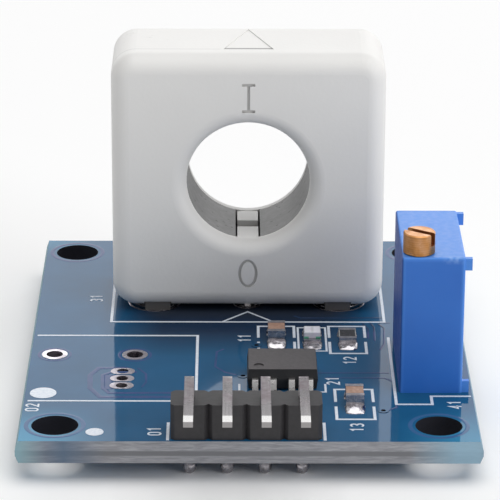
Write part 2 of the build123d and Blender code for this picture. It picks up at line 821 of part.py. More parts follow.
def comparator_body():
    """The moulded package: tapered above and below its mid-plane, with a round mark at the first pin."""
    z0 = board_t + chip_standoff
    mid = z0 + chip_height / 2
    face = Pos(chip_x, chip_y, mid) * Rectangle(chip_width, chip_depth)
    body = extrude(face, amount=chip_height / 2, taper=chip_draft)
    body += extrude(face, amount=-chip_height / 2, taper=chip_draft)
    mark_x = chip_x - chip_width / 2 + chip_mark_in
    mark_y = chip_y - chip_depth / 2 + chip_mark_in
    top = z0 + chip_height
    return body - rod(mark_x, mark_y, top - chip_mark_depth, top + past, chip_mark_r)


def gull_lead(x, side):
    """A lead that leaves the package at mid-height and steps down to its pad."""
    t = chip_lead_t
    start = chip_depth / 2
    tip = chip_span / 2
    low = board_t + solder_film
    high = board_t + chip_standoff + chip_height / 2 + t / 2
    knee = start + chip_shoulder
    heel = tip - chip_foot
    lean = chip_lead_lean
    outline = Polyline((start, high), (knee, high), (heel + lean, low + t), (tip, low + t), (tip, low),
                       (heel, low), (knee - lean, high - t), (start, high - t), close=True)
    plane = Plane(origin=(x - side * chip_lead_width / 2, chip_y, 0), x_dir=(0, side, 0), z_dir=(side, 0, 0))
    return extrude(plane * make_face(outline), amount=chip_lead_width)


def comparator_leads():
    """Four leads on each long side."""
    return group(gull_lead(x, side) for side in (-1, 1) for x in chip_leads_x)


def solder_wedge(x, y, side, width, under, run, height):
    """Solder on a pad: a film under a terminal that ends at y, and a hollow fillet in front of it."""
    film = solder_film
    z = board_t
    plane = Plane(origin=(x - side * width / 2, y, z), x_dir=(0, side, 0), z_dir=(side, 0, 0))
    with BuildSketch(plane) as section:
        with BuildLine():
            Line((-under, 0), (run, 0))
            Line((run, 0), (run, film))
            ThreePointArc((run, film), (run * fillet_hollow, film + (height - film) * fillet_hollow),
                          (0, height))
            Line((0, height), (0, film))
            Line((0, film), (-under, film))
            Line((-under, film), (-under, 0))
        make_face()
    return extrude(section.sketch, amount=width)


def comparator_solder():
    """A pad of solder under each lead."""
    return group(solder_wedge(x, chip_y + side * chip_span / 2, side, chip_lead_width + 2 * lead_pad_side,
                              chip_foot, lead_pad_run, lead_fillet)
                 for side in (-1, 1) for x in chip_leads_x)


# Chip parts

def chip_z():
    """The height at which chip parts sit on their solder."""
    return board_t + solder_film


def chip_terminals(place, height):
    """Two metal end caps that wrap the ends of a chip part."""
    x, y = place
    z0 = chip_z()
    caps = []
    for side in (-1, 1):
        end = y + side * chip_length / 2
        inner = end - side * terminal_length
        low, high = min(end, inner), max(end, inner)
        cap = box(x - part_width / 2, x + part_width / 2, low, high, z0, z0 + height)
        core_low = min(end - side * terminal_t, inner - side * past)
        core_high = max(end - side * terminal_t, inner - side * past)
        cap -= box(x - part_width / 2 + terminal_t, x + part_width / 2 - terminal_t, core_low, core_high,
                   z0 + terminal_t, z0 + height - terminal_t)
        caps.append(cap)
    return group(caps)


def chip_body(place, height):
    """The body of a chip part, inside its end caps."""
    x, y = place
    z0 = chip_z() + terminal_t
    half_x = part_width / 2 - terminal_t
    half_y = chip_length / 2 - terminal_t
    return box(x - half_x, x + half_x, y - half_y, y + half_y, z0, z0 + height - 2 * terminal_t)


def chip_solder():
    """The fillets at both ends of every chip part."""
    heights = ((cap_1_place, cap_fillet), (cap_2_place, cap_fillet), (resistor_place, resistor_fillet),
               (led_place, led_fillet))
    return group(solder_wedge(x, y + side * chip_length / 2, side, pad_width, terminal_length, pad_run,
                              height + solder_film)
                 for (x, y), height in heights for side in (-1, 1))


def resistor_film():
    """The dark glass over the resistance layer, on top of the body between the caps."""
    x, y = resistor_place
    top = chip_z() + resistor_height - terminal_t
    half_y = chip_length / 2 - terminal_length - resistor_film_in
    half_x = part_width / 2 - terminal_t - resistor_film_in
    return box(x - half_x, x + half_x, y - half_y, y + half_y, top, top + terminal_t)


def led_lens():
    """The clear moulding over the light source."""
    x, y = led_place
    z0 = chip_z() + led_base_height - terminal_t
    half_x = part_width / 2 - terminal_t
    half_y = chip_length / 2 - terminal_length - led_lens_play
    block = box(x - half_x, x + half_x, y - half_y, y + half_y, z0, z0 + led_lens_height)
    return chamfer(block.faces().sort_by(Axis.Z)[-1].edges(), led_lens_bevel)


def main():
    """Build and write every node."""
    os.makedirs("parts", exist_ok=True)
    save(circuit_board(), "circuit_board")
    save(legend(), "printed_legend")
    save(spare_pads(), "spare_sensor_pads")
    save(vias(), "vias")

    save(header_block(), "header_block")
    pins = [header_pin_shape(x) for x in header_xs]
    for k, pin in enumerate(pins):
        save(pin, f"header_pin_{k + 1}")
    save(group(solder_joint(x, header_y, header_hole_r, header_pad_r, pin) for x, pin in zip(header_xs, pins)),
         "header_solder")

    front, rear = shells()
    save(front, "sensor_front_shell")
    save(rear, "sensor_rear_shell")
    save(flux_core(), "flux_core")
    save(hall_element(), "hall_element")
    legs = [hall_leg(y) for y in hall_ys]
    for k, leg in enumerate(legs):
        save(leg, f"hall_leg_{k + 1}")
    oval = SlotOverall(hall_pad_x, hall_pad_y)
    save(group(solder_joint(sensor_x, y, hall_hole_r, hall_pad_y / 2, leg, oval)
               for y, leg in zip(hall_ys, legs)), "hall_solder")
    for name, (x, y) in zip(("left", "right"), posts):
        save(post(x, y), f"sensor_post_{name}")
    save(group(solder_joint(x, y, post_hole_r, post_joint_r, post(x, y), Circle(post_pad_r), post_neck_r)
               for x, y in posts), "sensor_post_solder")

    save(trimmer_case(), "trimmer_case")
    save(trimmer_base(), "trimmer_base")
    save(trimmer_screw(), "trimmer_screw")
    save(screw_seal(), "trimmer_screw_seal")
    save(worm_wheel(), "trimmer_wheel")
    save(wiper(), "trimmer_wiper")
    save(element_plate(), "trimmer_element")
    save(resistance_track(), "trimmer_track")
    save(ring_x(element_x0 - track_t, element_x0, collector_in_r, collector_out_r), "trimmer_collector")
    pins = [trimmer_pin(y) for y in trimmer_pin_ys]
    for k, pin in enumerate(pins):
        save(pin, f"trimmer_pin_{k + 1}")
    save(group(solder_joint(trimmer_pin_x, y, trimmer_hole_r, trimmer_pad_r, pin)
               for y, pin in zip(trimmer_pin_ys, pins)), "trimmer_solder")

    save(comparator_body(), "comparator_body")
    save(comparator_leads(), "comparator_leads")
    save(comparator_solder(), "comparator_solder")
    for k, place in enumerate((cap_1_place, cap_2_place)):
        save(chip_body(place, cap_height), f"capacitor_{k + 1}_body")
        save(chip_terminals(place, cap_height), f"capacitor_{k + 1}_terminals")
    save(chip_body(resistor_place, resistor_height), "resistor_body")
    save(resistor_film(), "resistor_film")
    save(chip_terminals(resistor_place, resistor_height), "resistor_terminals")
    save(chip_body(led_place, led_base_height), "led_base")
    save(led_lens(), "led_lens")
    save(chip_terminals(led_place, led_base_height), "led_terminals")
    save(chip_solder(), "chip_solder")


main()
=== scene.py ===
# %% [markdown]
# A current sensor board on a white sweep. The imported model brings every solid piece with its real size
# and place. This script gives each piece its finish, and adds what is too thin or too small for the
# solids: printed numbers, the copper lines that show through the solder mask, the tinned rings under the
# housing, the lumps of solder on the chips and the marks on the light. Lengths in the text are
# millimetres, and Blender itself works in metres.

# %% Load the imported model
import json
import math

import bpy
import numpy as np
from mathutils import Matrix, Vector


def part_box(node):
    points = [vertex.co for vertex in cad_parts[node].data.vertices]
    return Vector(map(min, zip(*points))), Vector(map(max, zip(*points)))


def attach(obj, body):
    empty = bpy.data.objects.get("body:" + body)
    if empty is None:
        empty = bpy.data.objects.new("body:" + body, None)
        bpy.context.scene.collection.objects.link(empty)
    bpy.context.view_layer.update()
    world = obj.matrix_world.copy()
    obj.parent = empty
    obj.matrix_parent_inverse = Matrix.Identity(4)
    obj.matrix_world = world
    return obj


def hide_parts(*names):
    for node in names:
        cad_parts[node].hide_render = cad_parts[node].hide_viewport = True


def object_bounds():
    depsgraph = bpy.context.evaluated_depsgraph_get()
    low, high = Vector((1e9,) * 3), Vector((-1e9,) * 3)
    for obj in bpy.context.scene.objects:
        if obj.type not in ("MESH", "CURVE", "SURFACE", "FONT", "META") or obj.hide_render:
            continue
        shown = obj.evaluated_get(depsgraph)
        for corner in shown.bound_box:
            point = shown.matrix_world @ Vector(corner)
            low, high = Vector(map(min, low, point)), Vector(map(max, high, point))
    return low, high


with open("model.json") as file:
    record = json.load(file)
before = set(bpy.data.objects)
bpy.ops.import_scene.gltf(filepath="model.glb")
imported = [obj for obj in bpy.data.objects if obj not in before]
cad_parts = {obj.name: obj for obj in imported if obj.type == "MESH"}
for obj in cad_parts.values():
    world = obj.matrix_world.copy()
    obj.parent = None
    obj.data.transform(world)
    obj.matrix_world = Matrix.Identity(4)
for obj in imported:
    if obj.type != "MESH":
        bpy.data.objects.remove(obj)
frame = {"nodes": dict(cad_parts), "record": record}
solid_box = [list(corner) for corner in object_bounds()]
MM = 0.001
print("pieces", len(frame["nodes"]), "box in mm", [[round(v / MM, 2) for v in c] for c in solid_box])

# %% [markdown]
# The photographer stood in front of the pin header with a long lens and looked down at the board. The
# header pitch, the small chip and the square trimmer have known sizes, and they fix where that camera
# was. The camera could be placed by eye, but then edges drift by a few pixels. It is built from three
# turns: yaw to the side, pitch down, and a small roll.

# %% Camera at the photograph's place
camera_place = np.array([-1.2180, -205.8082, 86.4265]) * MM
yaw, pitch, roll = np.radians([0.4141, 20.8410, 0.2693])
forward = np.array([np.sin(yaw) * np.cos(pitch), np.cos(yaw) * np.cos(pitch), -np.sin(pitch)])
level_right = np.array([np.cos(yaw), -np.sin(yaw), 0.0])
level_up = np.cross(level_right, forward)
right = np.cos(roll) * level_right + np.sin(roll) * level_up
up = np.cos(roll) * level_up - np.sin(roll) * level_right
turn = np.column_stack([right, up, -forward])
lens = bpy.data.cameras.new("long_lens")
lens.lens, lens.sensor_width = 220.4265, 36.0
lens.clip_start, lens.clip_end = 0.01, 20.0
camera = bpy.data.objects.new("camera", lens)
camera.matrix_world = Matrix.Translation(camera_place) @ Matrix(turn.tolist()).to_4x4()
bpy.context.scene.collection.objects.link(camera)
bpy.context.scene.camera = camera
bpy.context.scene.view_settings.view_transform = "Standard"
print("camera looks down by", round(math.degrees(pitch), 2), "degrees")

# %% [markdown]
# Colours are written as on a paint card, in sRGB. Blender mixes light in linear values, so one function
# turns a card's code into those.

# %% Colours from a card
def linear(code):
    """Linear RGBA of an sRGB code: the lower part of the curve is a straight line, the rest a 2.4 power."""
    part = np.array([int(code[k:k + 2], 16) for k in (1, 3, 5)]) / 255
    value = np.where(part <= 0.04045, part / 12.92, ((part + 0.055) / 1.055) ** 2.4)
    return (*value.tolist(), 1.0)


print("white card", linear("#ffffff"), "mid grey card", [round(v, 3) for v in linear("#808080")])

# %% [markdown]
# Every finish is a small tree of nodes. One function adds a node: values fill its sockets, links join
# them to earlier nodes, stops give the colours of a ramp, and the other words set the node's choices.
# A second one starts a finish and gives its coordinates in millimetres, so each pattern can be written
# with the size that it has on the real piece.

# %% Node helpers
def add(tree, kind, values=None, links=None, stops=None, **settings):
    """Add one node. A link from a whole node takes its first working output."""
    node = tree.nodes.new(kind)
    for name, value in settings.items():
        setattr(node, name, value)
    for socket, value in (values or {}).items():
        node.inputs[socket].default_value = value
    for socket, source in (links or {}).items():
        if isinstance(source, bpy.types.Node):
            source = next(output for output in source.outputs if output.enabled)
        tree.links.new(source, node.inputs[socket])
    for place, code in stops or []:
        if place in (0.0, 1.0):
            stop = node.color_ramp.elements[int(place) * (len(node.color_ramp.elements) - 1)]
        else:
            stop = node.color_ramp.elements.new(place)
        stop.color = linear(code)
    return node


def start(name, colour, **sockets):
    """Start a finish: its material, tree, shader and coordinates in mm. Constants go on the shader."""
    material = bpy.data.materials.new(name)
    material.use_nodes = True
    tree = material.node_tree
    shader = tree.nodes["Principled BSDF"]
    shader.inputs["Base Color"].default_value = linear(colour)
    for socket, value in sockets.items():
        shader.inputs[socket.replace("_", " ").title().replace("Ior", "IOR")].default_value = value
    place = add(tree, "ShaderNodeTexCoord")
    mm = add(tree, "ShaderNodeVectorMath", {1: (1000, 1000, 1000)}, {0: place.outputs["Object"]},
             operation="MULTIPLY")
    return material, tree, shader, mm


finishes = {}
print("helpers ready")

# %% [markdown]
# Several finishes change inside a small region: dirt in an engraved mark, a stain on a pin, a chipped
# edge. A box with soft sides, in millimetres, is enough for all of them.

# %% A soft box as a mask
def inside(tree, mm, soft=0.03, **spans):
    """One inside the box and zero outside: the product of a soft step for each axis x, y or z."""
    axes = add(tree, "ShaderNodeSeparateXYZ", links={0: mm})
    mask = None
    for axis, (low, high) in spans.items():
        away = add(tree, "ShaderNodeMath", {1: (low + high) / 2}, {0: axes.outputs[axis.upper()]},
                   operation="SUBTRACT")
        away = add(tree, "ShaderNodeMath", links={0: away}, operation="ABSOLUTE")
        half = (high - low) / 2
        step = add(tree, "ShaderNodeMapRange", {1: half + soft, 2: half - soft, 3: 0.0, 4: 1.0}, {0: away})
        mask = step if mask is None else add(tree, "ShaderNodeMath", links={0: mask, 1: step},
                                             operation="MULTIPLY")
    return mask


print("masks ready")

# %% [markdown]
# The object stands on the round tips of its solder joints, on a white sweep. The sweep is a large matt
# disc with no light of its own, so that the drilled holes stay dark and the object's shadow stays. It
# is a grid of radius and angle, with its rings closer together near the object.

# %% White floor
floor_z = solid_box[0][2]
spokes = 64
first_ring, last_ring, ring_count = 0.02, 4.0, 24
radius = np.concatenate([[0.0], np.geomspace(first_ring, last_ring, ring_count)])
angle = np.linspace(0, 2 * np.pi, spokes + 1)[:-1]
r, a = np.meshgrid(radius[1:], angle, indexing="ij")
points = np.stack([r * np.cos(a), r * np.sin(a), np.full_like(r, floor_z)], -1).reshape(-1, 3)
points = np.vstack([[[0, 0, floor_z]], points])
ring = np.arange(spokes)
step_on = (ring + 1) % spokes
inner = np.stack([np.zeros(spokes, int), 1 + ring, 1 + step_on], -1)
rows = 1 + spokes * np.arange(len(radius) - 2)[:, None]
outer = np.stack([rows + ring, rows + spokes + ring, rows + spokes + step_on, rows + step_on], -1)
outer = outer.reshape(-1, 4)
floor_mesh = bpy.data.meshes.new("white_floor")
floor_mesh.from_pydata(points.tolist(), [], inner.tolist() + outer.tolist())
floor = bpy.data.objects.new("white_floor", floor_mesh)
bpy.context.scene.collection.objects.link(floor)
sweep, tree, shader, mm = start("matt_white_paper", "#fbfbfb", roughness=0.9, specular_ior_level=0.0)
fibre = add(tree, "ShaderNodeTexNoise", {"Scale": 0.8, "Detail": 3.0}, {"Vector": mm})
bump = add(tree, "ShaderNodeBump", {"Strength": 0.1, "Distance": 0.00002}, {"Height": fibre})
tree.links.new(bump.outputs[0], shader.inputs["Normal"])
floor_mesh.materials.append(sweep)
print("floor at", round(floor_z / MM, 3), "mm")

# %% [markdown]
# The studio is plain. A wide soft lamp hangs above, a square softbox stands at the right and a low one
# behind, and the room is white. The eye and the reflections see the room at full strength, while it
# fills the shadows at a third, so they stay. The board is a mirror at this low angle: beside the housing
# it shows the rear softbox, and in front of it the housing itself, which is why the photograph has a
# pale and a deep blue. A hard lamp would light the housing as well, but it would cut a sharp shadow
# into the floor.

# %% Lamps and room
aim = np.array([0, 0, 0.008])


def lamp(name, kind, place, energy, **settings):
    """A lamp at a place in metres. It points at the aim, low in the middle of the object."""
    data = bpy.data.lights.new(name, kind)
    data.energy = energy
    for key, value in settings.items():
        setattr(data, key, value)
    thing = bpy.data.objects.new(name, data)
    back = np.array(place) - aim
    back = back / np.linalg.norm(back)
    side = np.cross([0, 0, 1], back)
    side = side / np.linalg.norm(side)
    turn = np.column_stack([side, np.cross(back, side), back])
    thing.matrix_world = Matrix.Translation(place) @ Matrix(turn.tolist()).to_4x4()
    thing.visible_camera = False
    bpy.context.scene.collection.objects.link(thing)
    return thing


lamp("soft_top", "SUN", (0.12, -0.02, 1.0), 1.5, angle=math.radians(60))
lamp("rear_softbox", "AREA", (0.0, 1.0, 0.36), 3.7, shape="RECTANGLE", size=1.7, size_y=0.46)
lamp("right_softbox", "AREA", (0.82, -0.55, 0.38), 3.9, shape="RECTANGLE", size=0.6, size_y=0.6)
room = bpy.data.worlds.new("white_room")
bpy.context.scene.world = room
room.use_nodes = True
tree = room.node_tree
fill_light = 0.34
ray = add(tree, "ShaderNodeLightPath")
seen = add(tree, "ShaderNodeMath", links={0: ray.outputs["Is Camera Ray"], 1: ray.outputs["Is Glossy Ray"]},
           operation="MAXIMUM")
seen = add(tree, "ShaderNodeMath", links={0: seen, 1: ray.outputs["Is Transmission Ray"]},
           operation="MAXIMUM")
level = add(tree, "ShaderNodeMapRange", {1: 0.0, 2: 1.0, 3: fill_light, 4: 1.0}, {0: seen})
tree.links.new(level.outputs[0], tree.nodes["Background"].inputs["Strength"])
tree.nodes["Background"].inputs["Color"].default_value = linear("#ffffff")

# %% [markdown]
# The board is glass-epoxy laminate with a sprayed blue solder mask: glossy and a little wavy like orange
# peel. It carries painted shade, darker near the housing and darker still under it, and a painted pale
# glow at three corners. The two colours could be painted on the mesh, but soft boxes and distances keep them
# editable.

# %% Solder mask on the flat faces
mask, tree, shader, mm = start("blue_solder_mask_on_laminate", "#1b5078", roughness=0.06, ior=1.19)
geometry = add(tree, "ShaderNodeNewGeometry")
pointing = add(tree, "ShaderNodeSeparateXYZ", links={0: geometry.outputs["Normal"]})
upright = add(tree, "ShaderNodeMath", links={0: pointing.outputs["Z"]}, operation="ABSOLUTE")
flat = add(tree, "ShaderNodeMath", {1: 0.9}, {0: upright}, operation="GREATER_THAN")
cloud = add(tree, "ShaderNodeTexNoise", {"Scale": 0.25, "Detail": 3.0}, {"Vector": mm})
face = add(tree, "ShaderNodeValToRGB", links={0: cloud}, stops=[(0.0, "#164a6e"), (1.0, "#215e88")])
# Painted glow: the mask is painted paler and cyan toward three corners, in place of light through the
# laminate.
corners = None
for x, y, reach, share in ((-15.4, -19.0, 7.5, 0.55), (15.7, -19.0, 6.5, 0.45), (-15.4, 19.0, 4.0, 0.3)):
    gap = add(tree, "ShaderNodeVectorMath", {1: (x, y, 1.6)}, {0: mm}, operation="DISTANCE")
    painted_glow = add(tree, "ShaderNodeMapRange", {1: 0.0, 2: reach, 3: share, 4: 0.0}, {0: gap.outputs["Value"]},
               interpolation_type="SMOOTHSTEP")
    corners = painted_glow if corners is None else add(tree, "ShaderNodeMath", links={0: corners, 1: painted_glow},
                                               operation="MAXIMUM")
face = add(tree, "ShaderNodeMix", {7: linear("#4fa9cf")}, {0: corners, 6: face}, data_type="RGBA")
# Painted shade: the mask is painted darker in front of and beside the housing, and darker still under it.
for reach, colour, spans in ((2.4, "#0b2946", {"x": (-8.5, 7.5), "y": (-2.0, 9.0)}),
                             (1.3, "#2a3240", {"x": (-7.5, 7.5), "y": (2.6, 9.0)})):
    painted_shade = inside(tree, mm, soft=reach, **spans)
    face = add(tree, "ShaderNodeMix", {7: linear(colour)}, {0: painted_shade, 6: face}, data_type="RGBA")
print("mask colour from", len(tree.nodes), "nodes")

# %% [markdown]
# The board's edges are bare laminate, sawn and snapped, where the glass layers show as grey streaks with
# a darker band at half thickness. Mist from the mask has tinted both ends of the front edge. The walls
# of the drilled holes are charred dark, and everything well inside the outline counts as such a wall.

# %% Sawn edge and drilled walls
streak = add(tree, "ShaderNodeVectorMath", {1: (0.9, 0.9, 8.0)}, {0: mm}, operation="MULTIPLY")
streak = add(tree, "ShaderNodeTexNoise", {"Scale": 1.0, "Detail": 4.0, "Distortion": 0.6}, {"Vector": streak})
sawn = add(tree, "ShaderNodeValToRGB", links={0: streak},
           stops=[(0.0, "#707176"), (0.45, "#8d8e93"), (0.6, "#9b9ca1"), (1.0, "#b0b2b7")])
band = inside(tree, mm, soft=0.05, z=(0.62, 0.98))
sawn = add(tree, "ShaderNodeMix", {7: linear("#75767a")}, {0: band, 6: sawn}, data_type="RGBA")
for reach, colour, span in ((1.6, "#8eabbd", (12.5, 17.0)), (1.6, "#5c6e83", (-13.6, -11.0)),
                            (0.9, "#86a4ae", (-17.0, -14.4))):
    tinted = inside(tree, mm, soft=reach, x=span)
    sawn = add(tree, "ShaderNodeMix", {7: linear(colour)}, {0: tinted, 6: sawn}, data_type="RGBA")
inner_area = inside(tree, mm, soft=0.01, x=(-15.25, 15.55), y=(-18.9, 18.9))
wall = add(tree, "ShaderNodeMix", {7: linear("#24252c")}, {0: inner_area, 6: sawn}, data_type="RGBA")
print("edge colour from", len(tree.nodes), "nodes")

# %% [markdown]
# Mask, edge and walls are one solid, so one finish has to tell its faces apart: what points up or down
# takes the mask's colour, gloss and soft waves, and what stands upright takes the laminate's.

# %% The board's finish put together
whole = add(tree, "ShaderNodeMix", links={0: flat, 6: wall, 7: face}, data_type="RGBA")
tree.links.new(whole.outputs[2], shader.inputs["Base Color"])
gloss = add(tree, "ShaderNodeMapRange", {1: 0.0, 2: 1.0, 3: 0.75, 4: 0.05}, {0: flat})
tree.links.new(gloss.outputs[0], shader.inputs["Roughness"])
peel = add(tree, "ShaderNodeTexNoise", {"Scale": 0.35, "Detail": 2.0}, {"Vector": mm})
relief = add(tree, "ShaderNodeMix", links={0: flat, 2: streak, 3: peel}, data_type="FLOAT")
depth = add(tree, "ShaderNodeMapRange", {1: 0.0, 2: 1.0, 3: 0.5, 4: 0.06}, {0: flat})
bump = add(tree, "ShaderNodeBump", {"Distance": 0.00006}, {"Height": relief, "Strength": depth})
tree.links.new(bump.outputs[0], shader.inputs["Normal"])
finishes["solder_mask"] = mask
print("board finish", len(tree.nodes), "nodes")

# %% [markdown]
# The legend is white epoxy ink, pushed through a silk screen. It is matt beside the mask, lets a little
# blue through, and its cover is uneven at the size of the screen's mesh, about 0.1 mm, drawn here a
# little coarser so that it shows.

# %% Screen-printed ink
ink, tree, shader, mm = start("white_screen_ink", "#d5dce6", roughness=0.45)
mesh_dots = add(tree, "ShaderNodeTexNoise", {"Scale": 5.0, "Detail": 2.0}, {"Vector": mm})
cover = add(tree, "ShaderNodeValToRGB", links={0: mesh_dots}, stops=[(0.0, "#a9b7cc"), (0.4, "#d3dbe6"),
                                                                     (1.0, "#eef1f5")])
tree.links.new(cover.outputs[0], shader.inputs["Base Color"])
bump = add(tree, "ShaderNodeBump", {"Strength": 0.3, "Distance": 0.00001}, {"Height": mesh_dots})
tree.links.new(bump.outputs[0], shader.inputs["Normal"])
finishes["legend_print"] = ink
print("ink finish", len(tree.nodes), "nodes")

# %% [markdown]
# Pads, pins and legs are copper or brass with a tin coat. Tin is a soft pale metal: hot-levelled pads
# are bright and a little wavy, and drawn pins carry fine lines along their length and grey and mauve
# patches along their middle. The lines are about 0.05 mm apart on a real pin and are drawn at 0.15 mm.
# The bevels at a pin's tip carry a painted highlight, and the sheared end between them a darker painted
# reflection.

# %% Tin on pads
pads, tree, shader, mm = start("hot_levelled_tin", "#d3d2cd", metallic=1.0, roughness=0.3)
wave = add(tree, "ShaderNodeTexNoise", {"Scale": 1.6, "Detail": 3.0}, {"Vector": mm})
tone = add(tree, "ShaderNodeValToRGB", links={0: wave}, stops=[(0.0, "#7d7880"), (0.5, "#b1abb2"),
                                                               (1.0, "#e2dde3")])
tree.links.new(tone.outputs[0], shader.inputs["Base Color"])
dull = add(tree, "ShaderNodeMapRange", {1: 0.3, 2: 0.7, 3: 0.42, 4: 0.2}, {0: wave})
tree.links.new(dull.outputs[0], shader.inputs["Roughness"])
bump = add(tree, "ShaderNodeBump", {"Strength": 0.4, "Distance": 0.00006}, {"Height": wave})
tree.links.new(bump.outputs[0], shader.inputs["Normal"])
finishes["tinned_copper"] = pads
print("pad finish", len(tree.nodes), "nodes")

# %% Tin on header pins
pins, tree, shader, mm = start("drawn_tin_pin", "#a9a5a7", metallic=1.0, roughness=0.24)
line = add(tree, "ShaderNodeVectorMath", {1: (6.5, 0.2, 6.5)}, {0: mm}, operation="MULTIPLY")
line = add(tree, "ShaderNodeTexNoise", {"Scale": 1.0, "Detail": 3.0}, {"Vector": line})
tone = add(tree, "ShaderNodeValToRGB", links={0: line}, stops=[(0.0, "#8a8688"), (0.5, "#9f9c9e"),
                                                               (1.0, "#b8b5b6")])
# Grey and mauve patches along the pins' middle, from y -22.4 to -16 mm, also duller there.
mauve_noise = add(tree, "ShaderNodeTexNoise", {"Scale": 0.55, "Detail": 3.0, "Roughness": 0.6}, {"Vector": mm})
mauve_patches = add(tree, "ShaderNodeMapRange", {1: 0.42, 2: 0.64, 3: 0.0, 4: 0.75}, {0: mauve_noise})
along = inside(tree, mm, soft=0.9, y=(-22.4, -16.0))
mauve_patches = add(tree, "ShaderNodeMath", links={0: mauve_patches, 1: along}, operation="MULTIPLY")
tone = add(tree, "ShaderNodeMix", {7: linear("#74666d")}, {0: mauve_patches, 6: tone}, data_type="RGBA")
# Painted highlight on the tip's bevels, and a darker painted reflection on the sheared end.
painted_tip_highlight = inside(tree, mm, soft=0.06, y=(-26.0, -24.42))
tone = add(tree, "ShaderNodeMix", {7: linear("#ebeae9")}, {0: painted_tip_highlight, 6: tone}, data_type="RGBA")
painted_end_shade = inside(tree, mm, soft=0.03, y=(-25.4, -25.15))
tone = add(tree, "ShaderNodeMix", {7: linear("#9a9797")}, {0: painted_end_shade, 6: tone}, data_type="RGBA")
tree.links.new(tone.outputs[2], shader.inputs["Base Color"])
dull = add(tree, "ShaderNodeMapRange", {1: 0.0, 2: 0.7, 3: 0.22, 4: 0.4}, {0: mauve_patches})
tree.links.new(dull.outputs[0], shader.inputs["Roughness"])
bump = add(tree, "ShaderNodeBump", {"Strength": 0.2, "Distance": 0.00002}, {"Height": line})
tree.links.new(bump.outputs[0], shader.inputs["Normal"])
finishes["tinned_pins"] = pins
print("pin finish", len(tree.nodes), "nodes")

# %% Tin on legs and posts
legs, tree, shader, mm = start("matt_tin_leg", "#c9c8c7", metallic=1.0, roughness=0.3)
grain = add(tree, "ShaderNodeTexNoise", {"Scale": 3.5, "Detail": 3.0}, {"Vector": mm})
tone = add(tree, "ShaderNodeValToRGB", links={0: grain}, stops=[(0.0, "#b1afae"), (1.0, "#f4f3f2")])
tree.links.new(tone.outputs[0], shader.inputs["Base Color"])
dull = add(tree, "ShaderNodeMapRange", {1: 0.3, 2: 0.7, 3: 0.4, 4: 0.22}, {0: grain})
tree.links.new(dull.outputs[0], shader.inputs["Roughness"])
bump = add(tree, "ShaderNodeBump", {"Strength": 0.25, "Distance": 0.00003}, {"Height": grain})
tree.links.new(bump.outputs[0], shader.inputs["Normal"])
finishes["tinned_leads"] = legs
print("leg finish", len(tree.nodes), "nodes")

# %% [markdown]
# Solder freezes from a liquid, so its surface is a bright skin with soft lumps and a few wrinkles where
# the flux boiled off. Machined metal would use fine lines; here the relief is rounded and 0.3 to 0.6 mm
# across, which breaks the reflection into bright and dark patches as in the photograph.

# %% Frozen solder
solder, tree, shader, mm = start("frozen_solder", "#a9a7ab", metallic=1.0, roughness=0.22)
lump = add(tree, "ShaderNodeTexNoise", {"Scale": 1.5, "Detail": 1.0, "Distortion": 0.5}, {"Vector": mm})
wrinkle = add(tree, "ShaderNodeTexNoise", {"Scale": 4.0, "Detail": 2.0}, {"Vector": mm})
tone = add(tree, "ShaderNodeValToRGB", links={0: wrinkle}, stops=[(0.0, "#747176"), (0.5, "#a5a2a6"),
                                                                  (1.0, "#d6d3d6")])
tree.links.new(tone.outputs[0], shader.inputs["Base Color"])
dull = add(tree, "ShaderNodeMapRange", {1: 0.3, 2: 0.7, 3: 0.14, 4: 0.34}, {0: wrinkle})
tree.links.new(dull.outputs[0], shader.inputs["Roughness"])
soft_lump = add(tree, "ShaderNodeBump", {"Strength": 0.6, "Distance": 0.0002}, {"Height": lump})
bump = add(tree, "ShaderNodeBump", {"Strength": 0.25, "Distance": 0.00002},
           {"Height": wrinkle, "Normal": soft_lump})
tree.links.new(bump.outputs[0], shader.inputs["Normal"])
finishes["solder"] = solder
print("solder finish", len(tree.nodes), "nodes")

# %% [markdown]
# The header block is glass-filled nylon, moulded black. The glass makes it matt and slightly rough, and
# its flat faces scatter enough light to look charcoal. The grooves between its segments stay black
# because they see only each other.

# %% Black glass-filled nylon
nylon, tree, shader, mm = start("black_glass_filled_nylon", "#2a292b", roughness=0.5)
fibre = add(tree, "ShaderNodeTexNoise", {"Scale": 3.0, "Detail": 4.0}, {"Vector": mm})
tone = add(tree, "ShaderNodeValToRGB", links={0: fibre}, stops=[(0.0, "#181719"), (1.0, "#2d2b2e")])
tree.links.new(tone.outputs[0], shader.inputs["Base Color"])
bump = add(tree, "ShaderNodeBump", {"Strength": 0.35, "Distance": 0.00004}, {"Height": fibre})
tree.links.new(bump.outputs[0], shader.inputs["Normal"])
finishes["header_plastic"] = nylon
print("header finish", len(tree.nodes), "nodes")
